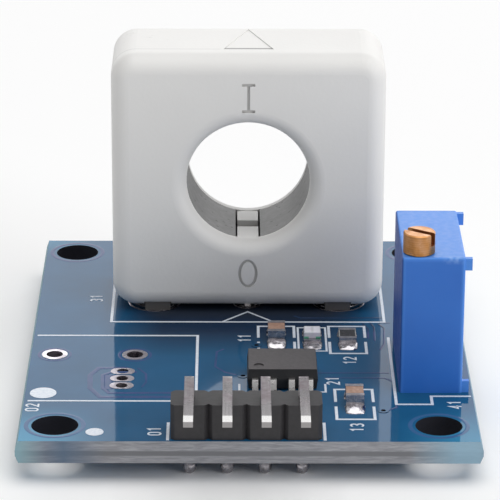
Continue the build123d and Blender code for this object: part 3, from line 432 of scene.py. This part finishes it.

# %% [markdown]
# The housing is white nylon from a spark-eroded mould: a semi-matt skin with a fine grain of about
# 0.15 mm, drawn at 0.3 mm. Painted shade darkens the engraved stroke and ring, the band along its
# underside, the two front feet and the arrow's base. A hairline where the two shells meet and a few
# scuffs at the rear of the top are real marks. All are drawn as darker regions over the same plastic.

# %% White grained nylon
shell, tree, shader, mm = start("white_spark_grained_nylon", "#e6e5e3", roughness=0.5,
                                specular_ior_level=0.25)
grain = add(tree, "ShaderNodeTexNoise", {"Scale": 3.2, "Detail": 4.0, "Roughness": 0.6}, {"Vector": mm})
drift = add(tree, "ShaderNodeTexNoise", {"Scale": 0.15, "Detail": 2.0}, {"Vector": mm})
tone = add(tree, "ShaderNodeValToRGB", links={0: drift}, stops=[(0.0, "#e2e1df"), (1.0, "#eae9e7")])
seam = inside(tree, mm, soft=0.05, x=(-9.9, -1.9), y=(6.02, 6.08))
painted_shade_and_wear = add(tree, "ShaderNodeMath", {1: 0.35}, {0: seam}, operation="MULTIPLY")
# Painted shade: the engraved stroke, the engraved ring, the band along the underside, the two front feet and
# the arrow's base.
for share, x, y, z in ((0.3, (-0.4, 0.7), (4.06, 4.4), (17.0, 19.4)),
                       (0.3, (-0.6, 0.9), (4.06, 4.4), (3.4, 5.95)),
                       (0.5, (-10.0, 10.3), (3.9, 12.0), (1.4, 1.95)),
                       (0.96, (-7.5, -5.5), (4.35, 5.9), (1.4, 2.45)),
                       (0.96, (5.8, 7.8), (4.35, 5.9), (1.4, 2.45)),
                       (0.7, (-1.65, 1.95), (6.0, 6.5), (21.15, 21.27))):
    region = inside(tree, mm, soft=0.02, x=x, y=y, z=z)
    region = add(tree, "ShaderNodeMath", {1: share}, {0: region}, operation="MULTIPLY")
    painted_shade_and_wear = add(tree, "ShaderNodeMath", links={0: painted_shade_and_wear, 1: region}, operation="MAXIMUM")
scratch = add(tree, "ShaderNodeVectorMath", {1: (0.7, 2.6, 1.0)}, {0: mm}, operation="MULTIPLY")
scratch = add(tree, "ShaderNodeTexNoise", {"Scale": 1.3, "Detail": 3.0, "Roughness": 0.7},
              {"Vector": scratch})
scratch = add(tree, "ShaderNodeMapRange", {1: 0.64, 2: 0.72, 3: 0.0, 4: 0.5}, {0: scratch})
corner = inside(tree, mm, soft=1.0, x=(-9.9, -5.0), y=(8.6, 12.0), z=(20.2, 21.5))
scratch = add(tree, "ShaderNodeMath", links={0: scratch, 1: corner}, operation="MULTIPLY")
painted_shade_and_wear = add(tree, "ShaderNodeMath", links={0: painted_shade_and_wear, 1: scratch}, operation="MAXIMUM")
tone = add(tree, "ShaderNodeMix", {7: linear("#4e4c4b")}, {0: painted_shade_and_wear, 6: tone}, data_type="RGBA")
tree.links.new(tone.outputs[2], shader.inputs["Base Color"])
bump = add(tree, "ShaderNodeBump", {"Strength": 0.35, "Distance": 0.00003}, {"Height": grain})
tree.links.new(bump.outputs[0], shader.inputs["Normal"])
finishes["housing_plastic"] = shell
print("housing finish", len(tree.nodes), "nodes")

# %% [markdown]
# The ring core is pressed and fired ferrite: mid grey, ground in the bore, with open pores that look
# like dark specks 0.1 to 0.3 mm across. A cell pattern gives the pores round outlines, and a slow noise
# decides where they are.

# %% Ground ferrite
ferrite, tree, shader, mm = start("ground_ferrite", "#868686", roughness=0.5)
cloud = add(tree, "ShaderNodeTexNoise", {"Scale": 1.6, "Detail": 5.0, "Roughness": 0.65}, {"Vector": mm})
tone = add(tree, "ShaderNodeValToRGB", links={0: cloud}, stops=[(0.0, "#404040"), (0.5, "#5c5c5c"),
                                                                (1.0, "#777777")])
cell = add(tree, "ShaderNodeTexVoronoi", {"Scale": 1.5, "Randomness": 1.0}, {"Vector": mm})
pore = add(tree, "ShaderNodeMapRange", {1: 0.12, 2: 0.2, 3: 1.0, 4: 0.0}, {0: cell.outputs["Distance"]})
few = add(tree, "ShaderNodeMapRange", {1: 0.36, 2: 0.46, 3: 0.0, 4: 0.9}, {0: cloud})
pore = add(tree, "ShaderNodeMath", links={0: pore, 1: few}, operation="MULTIPLY")
tone = add(tree, "ShaderNodeMix", {7: linear("#1f1f1f")}, {0: pore, 6: tone}, data_type="RGBA")
tree.links.new(tone.outputs[2], shader.inputs["Base Color"])
pit = add(tree, "ShaderNodeMath", links={0: cloud, 1: pore}, operation="SUBTRACT")
bump = add(tree, "ShaderNodeBump", {"Strength": 0.4, "Distance": 0.00005}, {"Height": pit})
tree.links.new(bump.outputs[0], shader.inputs["Normal"])
finishes["core_metal"] = ferrite
print("core finish", len(tree.nodes), "nodes")

# %% [markdown]
# Chip packages are black epoxy with silica dust, moulded against a blasted steel face. The top is
# painted a lighter brown-grey, a painted sheen from the light above, and the sides a darker tone, which
# is painted shade. The finish tells them apart by which way they point.

# %% Moulded chip epoxy
epoxy, tree, shader, mm = start("black_chip_epoxy", "#2c2928", roughness=0.62)
geometry = add(tree, "ShaderNodeNewGeometry")
pointing = add(tree, "ShaderNodeSeparateXYZ", links={0: geometry.outputs["Normal"]})
# Painted light: faces pointing up get the lighter top tone, and the sides get the darker painted shade.
top = add(tree, "ShaderNodeMapRange", {1: 0.6, 2: 0.95, 3: 0.0, 4: 1.0}, {0: pointing.outputs["Z"]})
dust = add(tree, "ShaderNodeTexNoise", {"Scale": 4.5, "Detail": 5.0, "Roughness": 0.7}, {"Vector": mm})
shaded_side_tone = add(tree, "ShaderNodeValToRGB", links={0: dust}, stops=[(0.0, "#0f0e0f"), (1.0, "#1e1d1e")])
lit_top_tone = add(tree, "ShaderNodeValToRGB", links={0: dust}, stops=[(0.0, "#2d2b2c"), (0.5, "#413e40"),
                                                                   (1.0, "#565254")])
tone = add(tree, "ShaderNodeMix", links={0: top, 6: shaded_side_tone, 7: lit_top_tone}, data_type="RGBA")
tree.links.new(tone.outputs[2], shader.inputs["Base Color"])
bump = add(tree, "ShaderNodeBump", {"Strength": 0.4, "Distance": 0.00003}, {"Height": dust})
tree.links.new(bump.outputs[0], shader.inputs["Normal"])
finishes["package_plastic"] = epoxy
print("package finish", len(tree.nodes), "nodes")

# %% [markdown]
# The trimmer's case is blue polyester, moulded with a satin skin. Its side edges and its top are painted
# paler than the deep blue front, a painted highlight, and the face toward the chips is painted deeper
# still, a painted shade, with faint rubbed specks. Its front upper edge is chipped near the right side,
# where the broken plastic is pale.

# %% Blue moulded polyester
case, tree, shader, mm = start("blue_moulded_polyester", "#2a6bc8", roughness=0.42,
                               specular_ior_level=0.42)
grain = add(tree, "ShaderNodeTexNoise", {"Scale": 2.6, "Detail": 4.0}, {"Vector": mm})
drift = add(tree, "ShaderNodeTexNoise", {"Scale": 0.3, "Detail": 2.0}, {"Vector": mm})
tone = add(tree, "ShaderNodeValToRGB", links={0: drift}, stops=[(0.0, "#2564bd"), (1.0, "#3073cc")])
geometry = add(tree, "ShaderNodeNewGeometry")
pointing = add(tree, "ShaderNodeSeparateXYZ", links={0: geometry.outputs["Normal"]})
# Painted highlight: outside this middle, on the side edges and the top, the blue is painted paler.
middle = inside(tree, mm, soft=0.16, x=(10.76, 14.78), z=(0.0, 11.44))
rim = add(tree, "ShaderNodeMapRange", {1: 0.0, 2: 1.0, 3: 0.6, 4: 0.0}, {0: middle})
tone = add(tree, "ShaderNodeMix", {7: linear("#5596ea")}, {0: rim, 6: tone}, data_type="RGBA")
# Painted shade: the face that points toward -x, to the chips, is painted a deeper blue.
painted_side_shade = add(tree, "ShaderNodeMapRange", {1: -0.9, 2: -0.4, 3: 0.9, 4: 0.0}, {0: pointing.outputs["X"]})
tone = add(tree, "ShaderNodeMix", {7: linear("#0a3c94")}, {0: painted_side_shade, 6: tone}, data_type="RGBA")
edge = inside(tree, mm, soft=0.3, x=(13.6, 14.7), y=(-11.1, -10.6), z=(11.4, 11.9))
ragged = add(tree, "ShaderNodeMapRange", {1: 0.36, 2: 0.6, 3: 0.0, 4: 1.0}, {0: grain})
chip = add(tree, "ShaderNodeMath", links={0: edge, 1: ragged}, operation="MULTIPLY")
tone = add(tree, "ShaderNodeMix", {7: linear("#8fb4ea")}, {0: chip, 6: tone}, data_type="RGBA")
rubbed = inside(tree, mm, soft=0.3, x=(10.4, 10.75), y=(-9.6, -2.6), z=(7.5, 11.2))
speck = add(tree, "ShaderNodeTexNoise", {"Scale": 2.2, "Detail": 3.0, "Roughness": 0.7}, {"Vector": mm})
speck = add(tree, "ShaderNodeMapRange", {1: 0.58, 2: 0.66, 3: 0.0, 4: 0.35}, {0: speck})
speck = add(tree, "ShaderNodeMath", links={0: speck, 1: rubbed}, operation="MULTIPLY")
tone = add(tree, "ShaderNodeMix", {7: linear("#1d2f63")}, {0: speck, 6: tone}, data_type="RGBA")
tree.links.new(tone.outputs[2], shader.inputs["Base Color"])
dull = add(tree, "ShaderNodeMapRange", {1: 0.3, 2: 0.7, 3: 0.36, 4: 0.5}, {0: grain})
tree.links.new(dull.outputs[0], shader.inputs["Roughness"])
rough_edge = add(tree, "ShaderNodeMath", links={0: grain, 1: chip}, operation="SUBTRACT")
bump = add(tree, "ShaderNodeBump", {"Strength": 0.1, "Distance": 0.00005}, {"Height": rough_edge})
tree.links.new(bump.outputs[0], shader.inputs["Normal"])
finishes["trimmer_plastic"] = case
print("trimmer finish", len(tree.nodes), "nodes")

# %% [markdown]
# The adjusting screw is brass, turned on a small lathe. The tool leaves rings round its axis about
# 0.05 mm apart, drawn at 0.16 mm, and air has browned it unevenly. The rings come from the distance
# along the axis on the side of the head and from the distance to the axis on its end.

# %% Turned brass
axis_x, axis_y = 11.8, -9.6
ring_spacing = 0.16
brass, tree, shader, mm = start("turned_brass", "#d19a5e", metallic=1.0, roughness=0.3)
centred = add(tree, "ShaderNodeVectorMath", {1: (axis_x, axis_y, 0.0)}, {0: mm}, operation="SUBTRACT")
parts = add(tree, "ShaderNodeSeparateXYZ", links={0: centred})
flat_part = add(tree, "ShaderNodeCombineXYZ", links={0: parts.outputs["X"], 1: parts.outputs["Y"]})
off_axis = add(tree, "ShaderNodeVectorMath", links={0: flat_part}, operation="LENGTH")
path = add(tree, "ShaderNodeMath", links={0: off_axis.outputs["Value"], 1: parts.outputs["Z"]},
           operation="ADD")
turning = add(tree, "ShaderNodeMath", {1: 2 * math.pi / ring_spacing}, {0: path}, operation="MULTIPLY")
turning = add(tree, "ShaderNodeMath", links={0: turning}, operation="SINE")
tarnish = add(tree, "ShaderNodeTexNoise", {"Scale": 1.3, "Detail": 4.0}, {"Vector": mm})
tone = add(tree, "ShaderNodeValToRGB", links={0: tarnish}, stops=[(0.0, "#7f5329"), (0.45, "#b27f4e"),
                                                                  (1.0, "#cfa588")])
ring_tone = add(tree, "ShaderNodeMapRange", {1: -1.0, 2: -0.2, 3: 0.16, 4: 0.0}, {0: turning})
tone = add(tree, "ShaderNodeMix", {7: linear("#7c4f22")}, {0: ring_tone, 6: tone}, data_type="RGBA")
tree.links.new(tone.outputs[2], shader.inputs["Base Color"])
dull = add(tree, "ShaderNodeMapRange", {1: 0.3, 2: 0.7, 3: 0.45, 4: 0.25}, {0: tarnish})
tree.links.new(dull.outputs[0], shader.inputs["Roughness"])
bump = add(tree, "ShaderNodeBump", {"Strength": 0.25, "Distance": 0.00001}, {"Height": turning})
tree.links.new(bump.outputs[0], shader.inputs["Normal"])
finishes["screw_brass"] = brass
print("screw finish", len(tree.nodes), "nodes")

# %% [markdown]
# The chip capacitors are fired ceramic, tan and slightly glossy with fine dark grains. Alumina is the
# white ceramic under the resistor and under the trimmer's track.

# %% Fired ceramics
tan, tree, shader, mm = start("tan_fired_ceramic", "#b98b6c", roughness=0.42)
grain = add(tree, "ShaderNodeTexNoise", {"Scale": 4.5, "Detail": 4.0}, {"Vector": mm})
tone = add(tree, "ShaderNodeValToRGB", links={0: grain}, stops=[(0.0, "#7f5d4b"), (0.5, "#a37f6b"),
                                                                (1.0, "#c2a593")])
tree.links.new(tone.outputs[0], shader.inputs["Base Color"])
bump = add(tree, "ShaderNodeBump", {"Strength": 0.25, "Distance": 0.00003}, {"Height": grain})
tree.links.new(bump.outputs[0], shader.inputs["Normal"])
finishes["capacitor_ceramic"] = tan
alumina, tree, shader, mm = start("white_alumina", "#e8e6df", roughness=0.5)
grain = add(tree, "ShaderNodeTexNoise", {"Scale": 5.0, "Detail": 3.0}, {"Vector": mm})
tone = add(tree, "ShaderNodeValToRGB", links={0: grain}, stops=[(0.0, "#d8d5cc"), (1.0, "#f2f1ec")])
tree.links.new(tone.outputs[0], shader.inputs["Base Color"])
bump = add(tree, "ShaderNodeBump", {"Strength": 0.2, "Distance": 0.00002}, {"Height": grain})
tree.links.new(bump.outputs[0], shader.inputs["Normal"])
finishes["alumina"] = alumina
print("ceramic finishes", tan.name, alumina.name)

# %% [markdown]
# The ends of the chips are nickel with a tin skin that the reflow oven has melted, so they are bright
# and softly dented. The resistor's cover is black fired glass: glossy, with a faint haze.

# %% Chip ends and resistor glass
ends, tree, shader, mm = start("reflowed_chip_end", "#d7d6d4", metallic=1.0, roughness=0.22)
dent = add(tree, "ShaderNodeTexNoise", {"Scale": 3.0, "Detail": 2.0}, {"Vector": mm})
tone = add(tree, "ShaderNodeValToRGB", links={0: dent}, stops=[(0.0, "#7c7a7f"), (0.5, "#aeabb0"),
                                                               (1.0, "#dcdadd")])
tree.links.new(tone.outputs[0], shader.inputs["Base Color"])
bump = add(tree, "ShaderNodeBump", {"Strength": 0.4, "Distance": 0.00006}, {"Height": dent})
tree.links.new(bump.outputs[0], shader.inputs["Normal"])
finishes["chip_terminals"] = ends
glass, tree, shader, mm = start("black_fired_glass", "#131314", roughness=0.2)
haze = add(tree, "ShaderNodeTexNoise", {"Scale": 3.5, "Detail": 3.0}, {"Vector": mm})
tone = add(tree, "ShaderNodeValToRGB", links={0: haze}, stops=[(0.0, "#0c0c0d"), (1.0, "#2b2b2d")])
tree.links.new(tone.outputs[0], shader.inputs["Base Color"])
dull = add(tree, "ShaderNodeMapRange", {1: 0.3, 2: 0.7, 3: 0.12, 4: 0.35}, {0: haze})
tree.links.new(dull.outputs[0], shader.inputs["Roughness"])
finishes["resistor_glass"] = glass
print("chip finishes", ends.name, glass.name)

# %% [markdown]
# The light is a white moulded base with a block of clear resin on it. From outside the resin looks
# milky, because the bright base and the tiny crystal show through. A little scatter under the surface
# does that with no glass, which would need many more samples.

# %% Light base and resin
white, tree, shader, mm = start("white_light_base", "#e2e0e8", roughness=0.4)
grain = add(tree, "ShaderNodeTexNoise", {"Scale": 4.0, "Detail": 3.0}, {"Vector": mm})
tone = add(tree, "ShaderNodeValToRGB", links={0: grain}, stops=[(0.0, "#d3d1da"), (1.0, "#efedf4")])
tree.links.new(tone.outputs[0], shader.inputs["Base Color"])
bump = add(tree, "ShaderNodeBump", {"Strength": 0.2, "Distance": 0.00002}, {"Height": grain})
tree.links.new(bump.outputs[0], shader.inputs["Normal"])
finishes["led_plastic"] = white
resin, tree, shader, mm = start("milky_cast_resin", "#e4e2ea", roughness=0.25, subsurface_weight=0.3)
shader.inputs["Subsurface Radius"].default_value = (0.0004, 0.0005, 0.0004)
shader.inputs["Subsurface Scale"].default_value = 1.0
cloud = add(tree, "ShaderNodeTexNoise", {"Scale": 2.0, "Detail": 2.0}, {"Vector": mm})
tone = add(tree, "ShaderNodeValToRGB", links={0: cloud}, stops=[(0.0, "#d6d4de"), (1.0, "#f1eff6")])
crystal = inside(tree, mm, soft=0.1, x=(4.72, 4.84), y=(-1.7, -0.7), z=(2.2, 2.6))
crystal = add(tree, "ShaderNodeMath", {1: 0.4}, {0: crystal}, operation="MULTIPLY")
tone = add(tree, "ShaderNodeMix", {7: linear("#6f7a72")}, {0: crystal, 6: tone}, data_type="RGBA")
tree.links.new(tone.outputs[2], shader.inputs["Base Color"])
finishes["led_resin"] = resin
print("light finishes", white.name, resin.name)

# %% [markdown]
# Inside the trimmer, and under it, are pieces that show only from below or when it is taken apart:
# pale casting resin, a rubber ring, a white nylon wheel, a spring of gold-coloured alloy and a dark
# fired track. They still get their own colour, gloss and grain.

# %% Pieces inside the trimmer
hidden = {
    "sealing_resin": ("cream_casting_resin", ("#b9b196", "#d2cbb4"), 0.25, 0.0, 1.2),
    "seal_rubber": ("black_rubber", ("#141414", "#262626"), 0.7, 0.0, 4.0),
    "wheel_plastic": ("white_wheel_nylon", ("#dcdcd4", "#ebebe5"), 0.4, 0.0, 3.0),
    "wiper_metal": ("rolled_spring_alloy", ("#b59a5c", "#dcc78f"), 0.28, 1.0, 2.5),
    "resistance_film": ("dark_fired_track", ("#1c1a1a", "#2c2929"), 0.35, 0.0, 3.5),
}
for slot_name, (name, (dark, light), roughness, metallic, per_mm) in hidden.items():
    made, tree, shader, mm = start(name, light, roughness=roughness, metallic=metallic)
    grain = add(tree, "ShaderNodeTexNoise", {"Scale": per_mm, "Detail": 4.0}, {"Vector": mm})
    tone = add(tree, "ShaderNodeValToRGB", links={0: grain}, stops=[(0.0, dark), (1.0, light)])
    tree.links.new(tone.outputs[0], shader.inputs["Base Color"])
    bump = add(tree, "ShaderNodeBump", {"Strength": 0.3, "Distance": 0.00003}, {"Height": grain})
    tree.links.new(bump.outputs[0], shader.inputs["Normal"])
    finishes[slot_name] = made
print("hidden finishes", sorted(hidden))

# %% [markdown]
# Each solid piece names the slot that its finish belongs to, so one loop dresses all of them.

# %% Dress the solid pieces
for part in frame["record"]["subparts"]:
    piece = frame["nodes"][part["node"]]
    piece.data.materials.clear()
    piece.data.materials.append(finishes[part["material_slot"]])

# %% [markdown]
# Printed numbers and copper lines are thin strips that follow a path. Each one is a closed skin: a cross
# section is carried along the path, squared to its direction, and both ends are capped. Curves with a
# bevel could do it too, but a worked-out grid keeps the strips flat on the board and the corners sharp.

# %% A strip along a path
def strip(path, width, rise, base, closed=False, crown=0.0):
    """Points and faces of a strip: at each path point the section runs across from -1 to 1 times half the
    width, at height base + rise * (1 - crown * across squared), and returns along the base."""
    path = np.asarray(path, float)
    if closed:
        before, after = np.roll(path, 1, 0), np.roll(path, -1, 0)
    else:
        before = np.vstack([2 * path[0] - path[1], path[:-1]])
        after = np.vstack([path[1:], 2 * path[-1] - path[-2]])
    into, out = path - before, after - path
    into /= np.linalg.norm(into, axis=1, keepdims=True)
    out /= np.linalg.norm(out, axis=1, keepdims=True)
    ahead = into + out
    ahead /= np.linalg.norm(ahead, axis=1, keepdims=True)
    side = np.column_stack([ahead[:, 1], -ahead[:, 0]])
    reach = 0.5 * width / np.clip((ahead * out).sum(1), 0.4, 1.0)
    across = np.array([-1.0, -0.6, 0.0, 0.6, 1.0, 1.0, -1.0])
    height = np.where(np.arange(7) < 5, rise * (1 - crown * across ** 2), 0.0)
    flat_points = path[:, None, :] + side[:, None, :] * (reach[:, None] * across)[:, :, None]
    points = np.dstack([flat_points, np.broadcast_to(base + height, flat_points.shape[:2])])
    count, around = points.shape[:2]
    row = np.arange(count if closed else count - 1)[:, None]
    col = np.arange(around)[None, :]
    here, there = row * around, ((row + 1) % count) * around
    next_col = (col + 1) % around
    faces = np.stack([here + col, there + col, there + next_col, here + next_col], -1).reshape(-1, 4).tolist()
    if not closed:
        faces.append(list(range(around)))
        faces.append([(count - 1) * around + k for k in reversed(range(around))])
    return points.reshape(-1, 3), faces


straight, _ = strip([(0, 0), (1, 0)], 0.2, 0.02, 0.0)
print("a straight strip has", len(straight), "points")

# %% [markdown]
# Rings and round digits need points on an arc. Every added piece is then made the same way: the strips
# are joined in one mesh, turned outwards if its volume comes out negative, and told which body it rides.

# %% Arcs, and one piece from many strips
def arc(cx, cy, rx, ry, start_deg, end_deg, count=9):
    """Points of an ellipse's arc: centre plus radius times cosine and sine, from one angle to another."""
    turn = np.radians(np.linspace(start_deg, end_deg, count))
    return np.column_stack([cx + rx * np.cos(turn), cy + ry * np.sin(turn)])


def build(name, strips, finish, body="sensor_board"):
    """One mesh from several strips, in metres. Its volume is a sixth of the sum of first . (second x
    third) over its triangles, and where that is negative the faces are turned over."""
    points, faces = [], []
    for strip_points, strip_faces in strips:
        faces += [[k + len(points) for k in face] for face in strip_faces]
        points += (strip_points * MM).tolist()
    mesh = bpy.data.meshes.new(name)
    mesh.from_pydata(points, [], faces)
    place = np.array(points)
    corners = np.array([[face[0], face[k], face[k + 1]] for face in faces for k in range(1, len(face) - 1)])
    first, second, third = place[corners[:, 0]], place[corners[:, 1]], place[corners[:, 2]]
    if (first * np.cross(second, third)).sum() < 0:
        mesh.flip_normals()
    mesh.materials.append(finish)
    piece = bpy.data.objects.new(name, mesh)
    bpy.context.scene.collection.objects.link(piece)
    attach(piece, body)
    print(name, len(mesh.vertices), "points,", len(mesh.polygons), "faces")
    return piece


board_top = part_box("circuit_board")[1].z / MM
print("board top at", round(board_top, 3), "mm")

# %% [markdown]
# Copper lines run under the mask. They show as faint violet edges, because the mask is thinner on their
# shoulders. The lines and the small patch at the spare holes, the links near the housing and the rings
# round the fixing holes are laid here as shallow ridges, 0.01 to 0.015 mm high, in the mask's own gloss
# but a little redder. At the front corners they are painted nearly as pale as the mask's painted glow, and
# in the housing's shade they are painted nearly as dark, as painted shade. Three bare tinned rings lie round
# the posts and the legs, and their arcs glint under the housing's edge.

# %% Lines under the mask
violet, tree, shader, mm = start("mask_over_copper_edge", "#2c4a78", roughness=0.08, ior=1.19)
thin = add(tree, "ShaderNodeTexNoise", {"Scale": 0.7, "Detail": 3.0}, {"Vector": mm})
tone = add(tree, "ShaderNodeValToRGB", links={0: thin}, stops=[(0.0, "#204a6e"), (0.5, "#384e7c"),
                                                               (1.0, "#575683")])
# Painted glow at the two front corners, and painted shade in front of the housing.
for share, colour, x, y in ((0.6, "#3d6a92", (-15.6, -10.6), (-19.2, -14.0)),
                            (0.6, "#3d6a92", (10.6, 15.9), (-19.2, -14.0)),
                            (0.7, "#24384f", (-8.0, 10.4), (0.5, 4.2))):
    region = inside(tree, mm, soft=0.4, x=x, y=y)
    amount = add(tree, "ShaderNodeMath", {1: share}, {0: region}, operation="MULTIPLY")
    tone = add(tree, "ShaderNodeMix", {7: linear(colour)}, {0: amount, 6: tone}, data_type="RGBA")
tree.links.new(tone.outputs[2], shader.inputs["Base Color"])
bump = add(tree, "ShaderNodeBump", {"Strength": 0.1, "Distance": 0.00003}, {"Height": thin})
tree.links.new(bump.outputs[0], shader.inputs["Normal"])
lines = [
    [(-8.0, -6.9), (-8.6, -6.45), (-10.41, -6.49), (-10.99, -7.75), (-10.89, -10.05), (-10.13, -11.61),
     (-5.16, -11.59), (-4.2, -11.0), (-3.9, -10.2)],
    [(-7.7, -7.2), (-9.5, -7.25), (-10.08, -7.75), (-9.99, -10.04), (-9.54, -10.91), (-5.17, -10.89)],
    [(-7.66, -6.48), (-7.06, -7.55), (-7.02, -8.98), (-7.3, -9.9)],
    [(3.56, 3.36), (4.07, 2.97), (10.2, 3.0)],
    [(9.77, 2.02), (10.58, 2.03)],
    [(9.69, 1.83), (10.09, 1.06), (9.95, -1.98), (9.61, -3.1)],
    [(4.98, -7.32), (10.05, -7.29)],
    [(8.55, 1.9), (8.9, 0.9), (8.85, -1.0)],
    [(9.0, 2.4), (9.35, 1.2), (9.3, -1.4)],
    [(-1.6, -3.0), (-2.1, -3.5), (-2.2, -6.2), (-1.5, -7.2), (-0.7, -7.7)],
    [(9.6, -13.9), (10.3, -13.3), (10.3, -8.9), (9.7, -8.2), (5.6, -8.2)],
]
patch = [(-9.72, -7.75), (-9.72, -10.25)]
fixing_holes = [(x, y) for x in (-13.0, 13.0) for y in (-16.4, 16.4)]
spare_holes = [(-13.67, -4.05), (-7.94, -4.1)]
circle = arc(0, 0, 1, 1, 0, 355, 72)
widths = [0.36, 0.3] + [0.16] * (len(lines) - 2)
strips = [strip(line, width, 0.015, board_top, crown=0.5) for line, width in zip(lines, widths)]
strips.append(strip(patch, 0.8, 0.01, board_top, crown=0.5))
strips += [strip(place + 1.95 * circle, 0.3, 0.01, board_top, True, 0.9) for place in fixing_holes]
strips += [strip(place + 1.12 * circle, 0.2, 0.012, board_top, True, 0.5) for place in spare_holes]
build("copper_lines_under_mask", strips, violet)
rings = [strip((x, y) + reach * circle, 0.14, 0.03, board_top, closed=True, crown=0.7)
         for x, y, reach in ((-6.75, 6.2, 1.9), (6.9, 6.2, 1.9), (0.1, 5.9, 1.0))]
build("tinned_rings_under_housing", rings, pads)

# %% [markdown]
# Beside its parts a board carries numbers that tell them apart. These are plain two-digit ones, drawn
# like a plotter's strokes in the same ink. They read from the header toward the housing, so a digit's
# top points to the left edge. Each digit is one stroke in a cell of one unit height.

# %% Printed numbers
digits = {
    "0": [(np.vstack([arc(0.28, 0.72, 0.22, 0.22, 0, 180), arc(0.28, 0.28, 0.22, 0.22, 180, 360)]), True)],
    "1": [(np.array([[0.12, 0.78], [0.32, 0.94], [0.32, 0.06]]), False)],
    "2": [(np.vstack([arc(0.28, 0.70, 0.22, 0.24, 165, -25), [[0.06, 0.06], [0.52, 0.06]]]), False)],
    "3": [(np.vstack([arc(0.27, 0.72, 0.21, 0.21, 150, -80), arc(0.27, 0.27, 0.23, 0.22, 80, -150)]), False)],
    "4": [(np.array([[0.40, 0.06], [0.40, 0.94], [0.06, 0.34], [0.54, 0.34]]), False)],
}
digit_height, digit_pitch, stroke_width, ink_rise = 0.95, 0.74, 0.13, 0.02
side_room = 0.08
labels = [("31", -11.12, 6.76), ("02", -14.72, -13.42), ("21", 6.06, -8.74), ("11", -0.07, -0.95),
          ("12", 7.39, -5.04), ("13", 7.45, -16.67), ("41", 14.33, -12.86), ("01", -6.23, -17.38)]
strips = []
for word, x, y in labels:
    for k, digit in enumerate(word):
        for stroke, closed in digits[digit]:
            along = y + digit_pitch * (k - len(word) / 2) + side_room + stroke[:, 0] * digit_height
            across = x + digit_height / 2 - stroke[:, 1] * digit_height
            path = np.column_stack([across, along])
            strips.append(strip(path, stroke_width, ink_rise, board_top, closed=closed))
build("printed_numbers", strips, ink)

# %% [markdown]
# At both ends of every chip part the solder has climbed the metal end and frozen as a lump: rounded above,
# hollow at its foot, and narrower where it thins out over the pad. A plain wedge would reflect like a
# ramp. The lump is a grid over the pad with its height from a formula, closed by a back and a bottom.

# %% Solder lumps on the chip parts
def lump_grid(x, end_y, side, half_width, run, top, seed):
    """Points and faces of one lump, for u across from -1 to 1 and v outwards from 0 at the chip's end to 1
    at the foot. Its height is 0.02 + top * (1 - v^1.7)^0.8 * (1 - 0.3 u^4) * (1 + dents) * the root of a
    rim that falls from 1 to 0 near the sides. The dents are three sine waves of u and v."""
    u, v = np.meshgrid(np.linspace(-1, 1, 21), np.linspace(0, 1, 17), indexing="ij")
    draw = np.random.default_rng(seed)
    dents = sum(draw.uniform(-0.05, 0.05) * np.sin(3.1 * k * u + 2.3 * k * v + draw.uniform(0, 6))
                for k in (1, 2, 3))
    rise = top * np.clip(1 - v ** 1.7, 0, 1) ** 0.8 * (1 - 0.3 * u ** 4) * (1 + dents)
    rim = np.clip(1.02 - np.abs(u), 0, 0.12) / 0.12
    rise = 0.02 + rise * np.sqrt(np.clip(rim, 0, 1))
    across = x + half_width * u * (1 - 0.12 * v ** 2)
    out = end_y + side * run * v * (1 - 0.12 * u ** 4)
    upper = np.stack([across, out, board_top + rise], -1).reshape(-1, 3)
    lower = np.stack([across, out, np.full_like(u, board_top)], -1).reshape(-1, 3)
    rows, cols = u.shape
    at = np.arange(rows * cols).reshape(rows, cols)
    quads = np.stack([at[:-1, :-1], at[1:, :-1], at[1:, 1:], at[:-1, 1:]], -1).reshape(-1, 4)
    edge = np.concatenate([at[:-1, 0], at[-1, :-1], at[:0:-1, -1], at[0, :0:-1]])
    after = np.roll(edge, -1)
    total = rows * cols
    walls = np.stack([edge, edge + total, after + total, after], -1)
    faces = np.vstack([quads, quads[:, ::-1] + total, walls])
    if side < 0:
        faces = faces[:, ::-1]
    return np.vstack([upper, lower]), faces.tolist()


chips = {"capacitor_1": 0.36, "capacitor_2": 0.36, "resistor": 0.25, "led": 0.18}
half_width, run, tuck = 0.7, 0.95, 0.02
lumps = []
for k, (chip_name, top) in enumerate(chips.items()):
    low, high = (np.array(corner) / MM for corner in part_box(chip_name + "_terminals"))
    middle = (low + high) / 2
    for side, end_y in ((-1, low[1]), (1, high[1])):
        seed = 10 * k + side + 1
        lumps.append(lump_grid(middle[0], end_y - tuck * side, side, half_width, run, top, seed))
        film = np.array([[middle[0], end_y - 0.4 * side], [middle[0], end_y]])
        lumps.append(strip(film, 2 * half_width, 0.04, board_top))
piece = build("chip_solder_lumps", lumps, solder)
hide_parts("chip_solder")
for polygon in piece.data.polygons:
    polygon.use_smooth = True

# %% [markdown]
# Two small green marks at the foot of the light's resin tell which end is the cathode. They are paint, so
# they are thin plates that stand just proud of the resin's front.

# %% Green marks on the light
green, tree, shader, mm = start("green_print", "#3fb08a", roughness=0.4)
wear = add(tree, "ShaderNodeTexNoise", {"Scale": 6.0, "Detail": 2.0}, {"Vector": mm})
tone = add(tree, "ShaderNodeValToRGB", links={0: wear}, stops=[(0.0, "#2a9a74"), (1.0, "#6fd0ab")])
tree.links.new(tone.outputs[0], shader.inputs["Base Color"])
lens_low, lens_high = (np.array(corner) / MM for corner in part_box("led_lens"))
mark_width, mark_height, mark_proud, mark_lift = 0.34, 0.1, 0.02, 0.03
marks = []
for x0, x1 in ((lens_low[0], lens_low[0] + mark_width), (lens_high[0] - mark_width, lens_high[0])):
    marks.append(strip([(x0, lens_low[1]), (x1, lens_low[1])], mark_proud, mark_height,
                       lens_low[2] + mark_lift))
build("green_cathode_marks", marks, green)
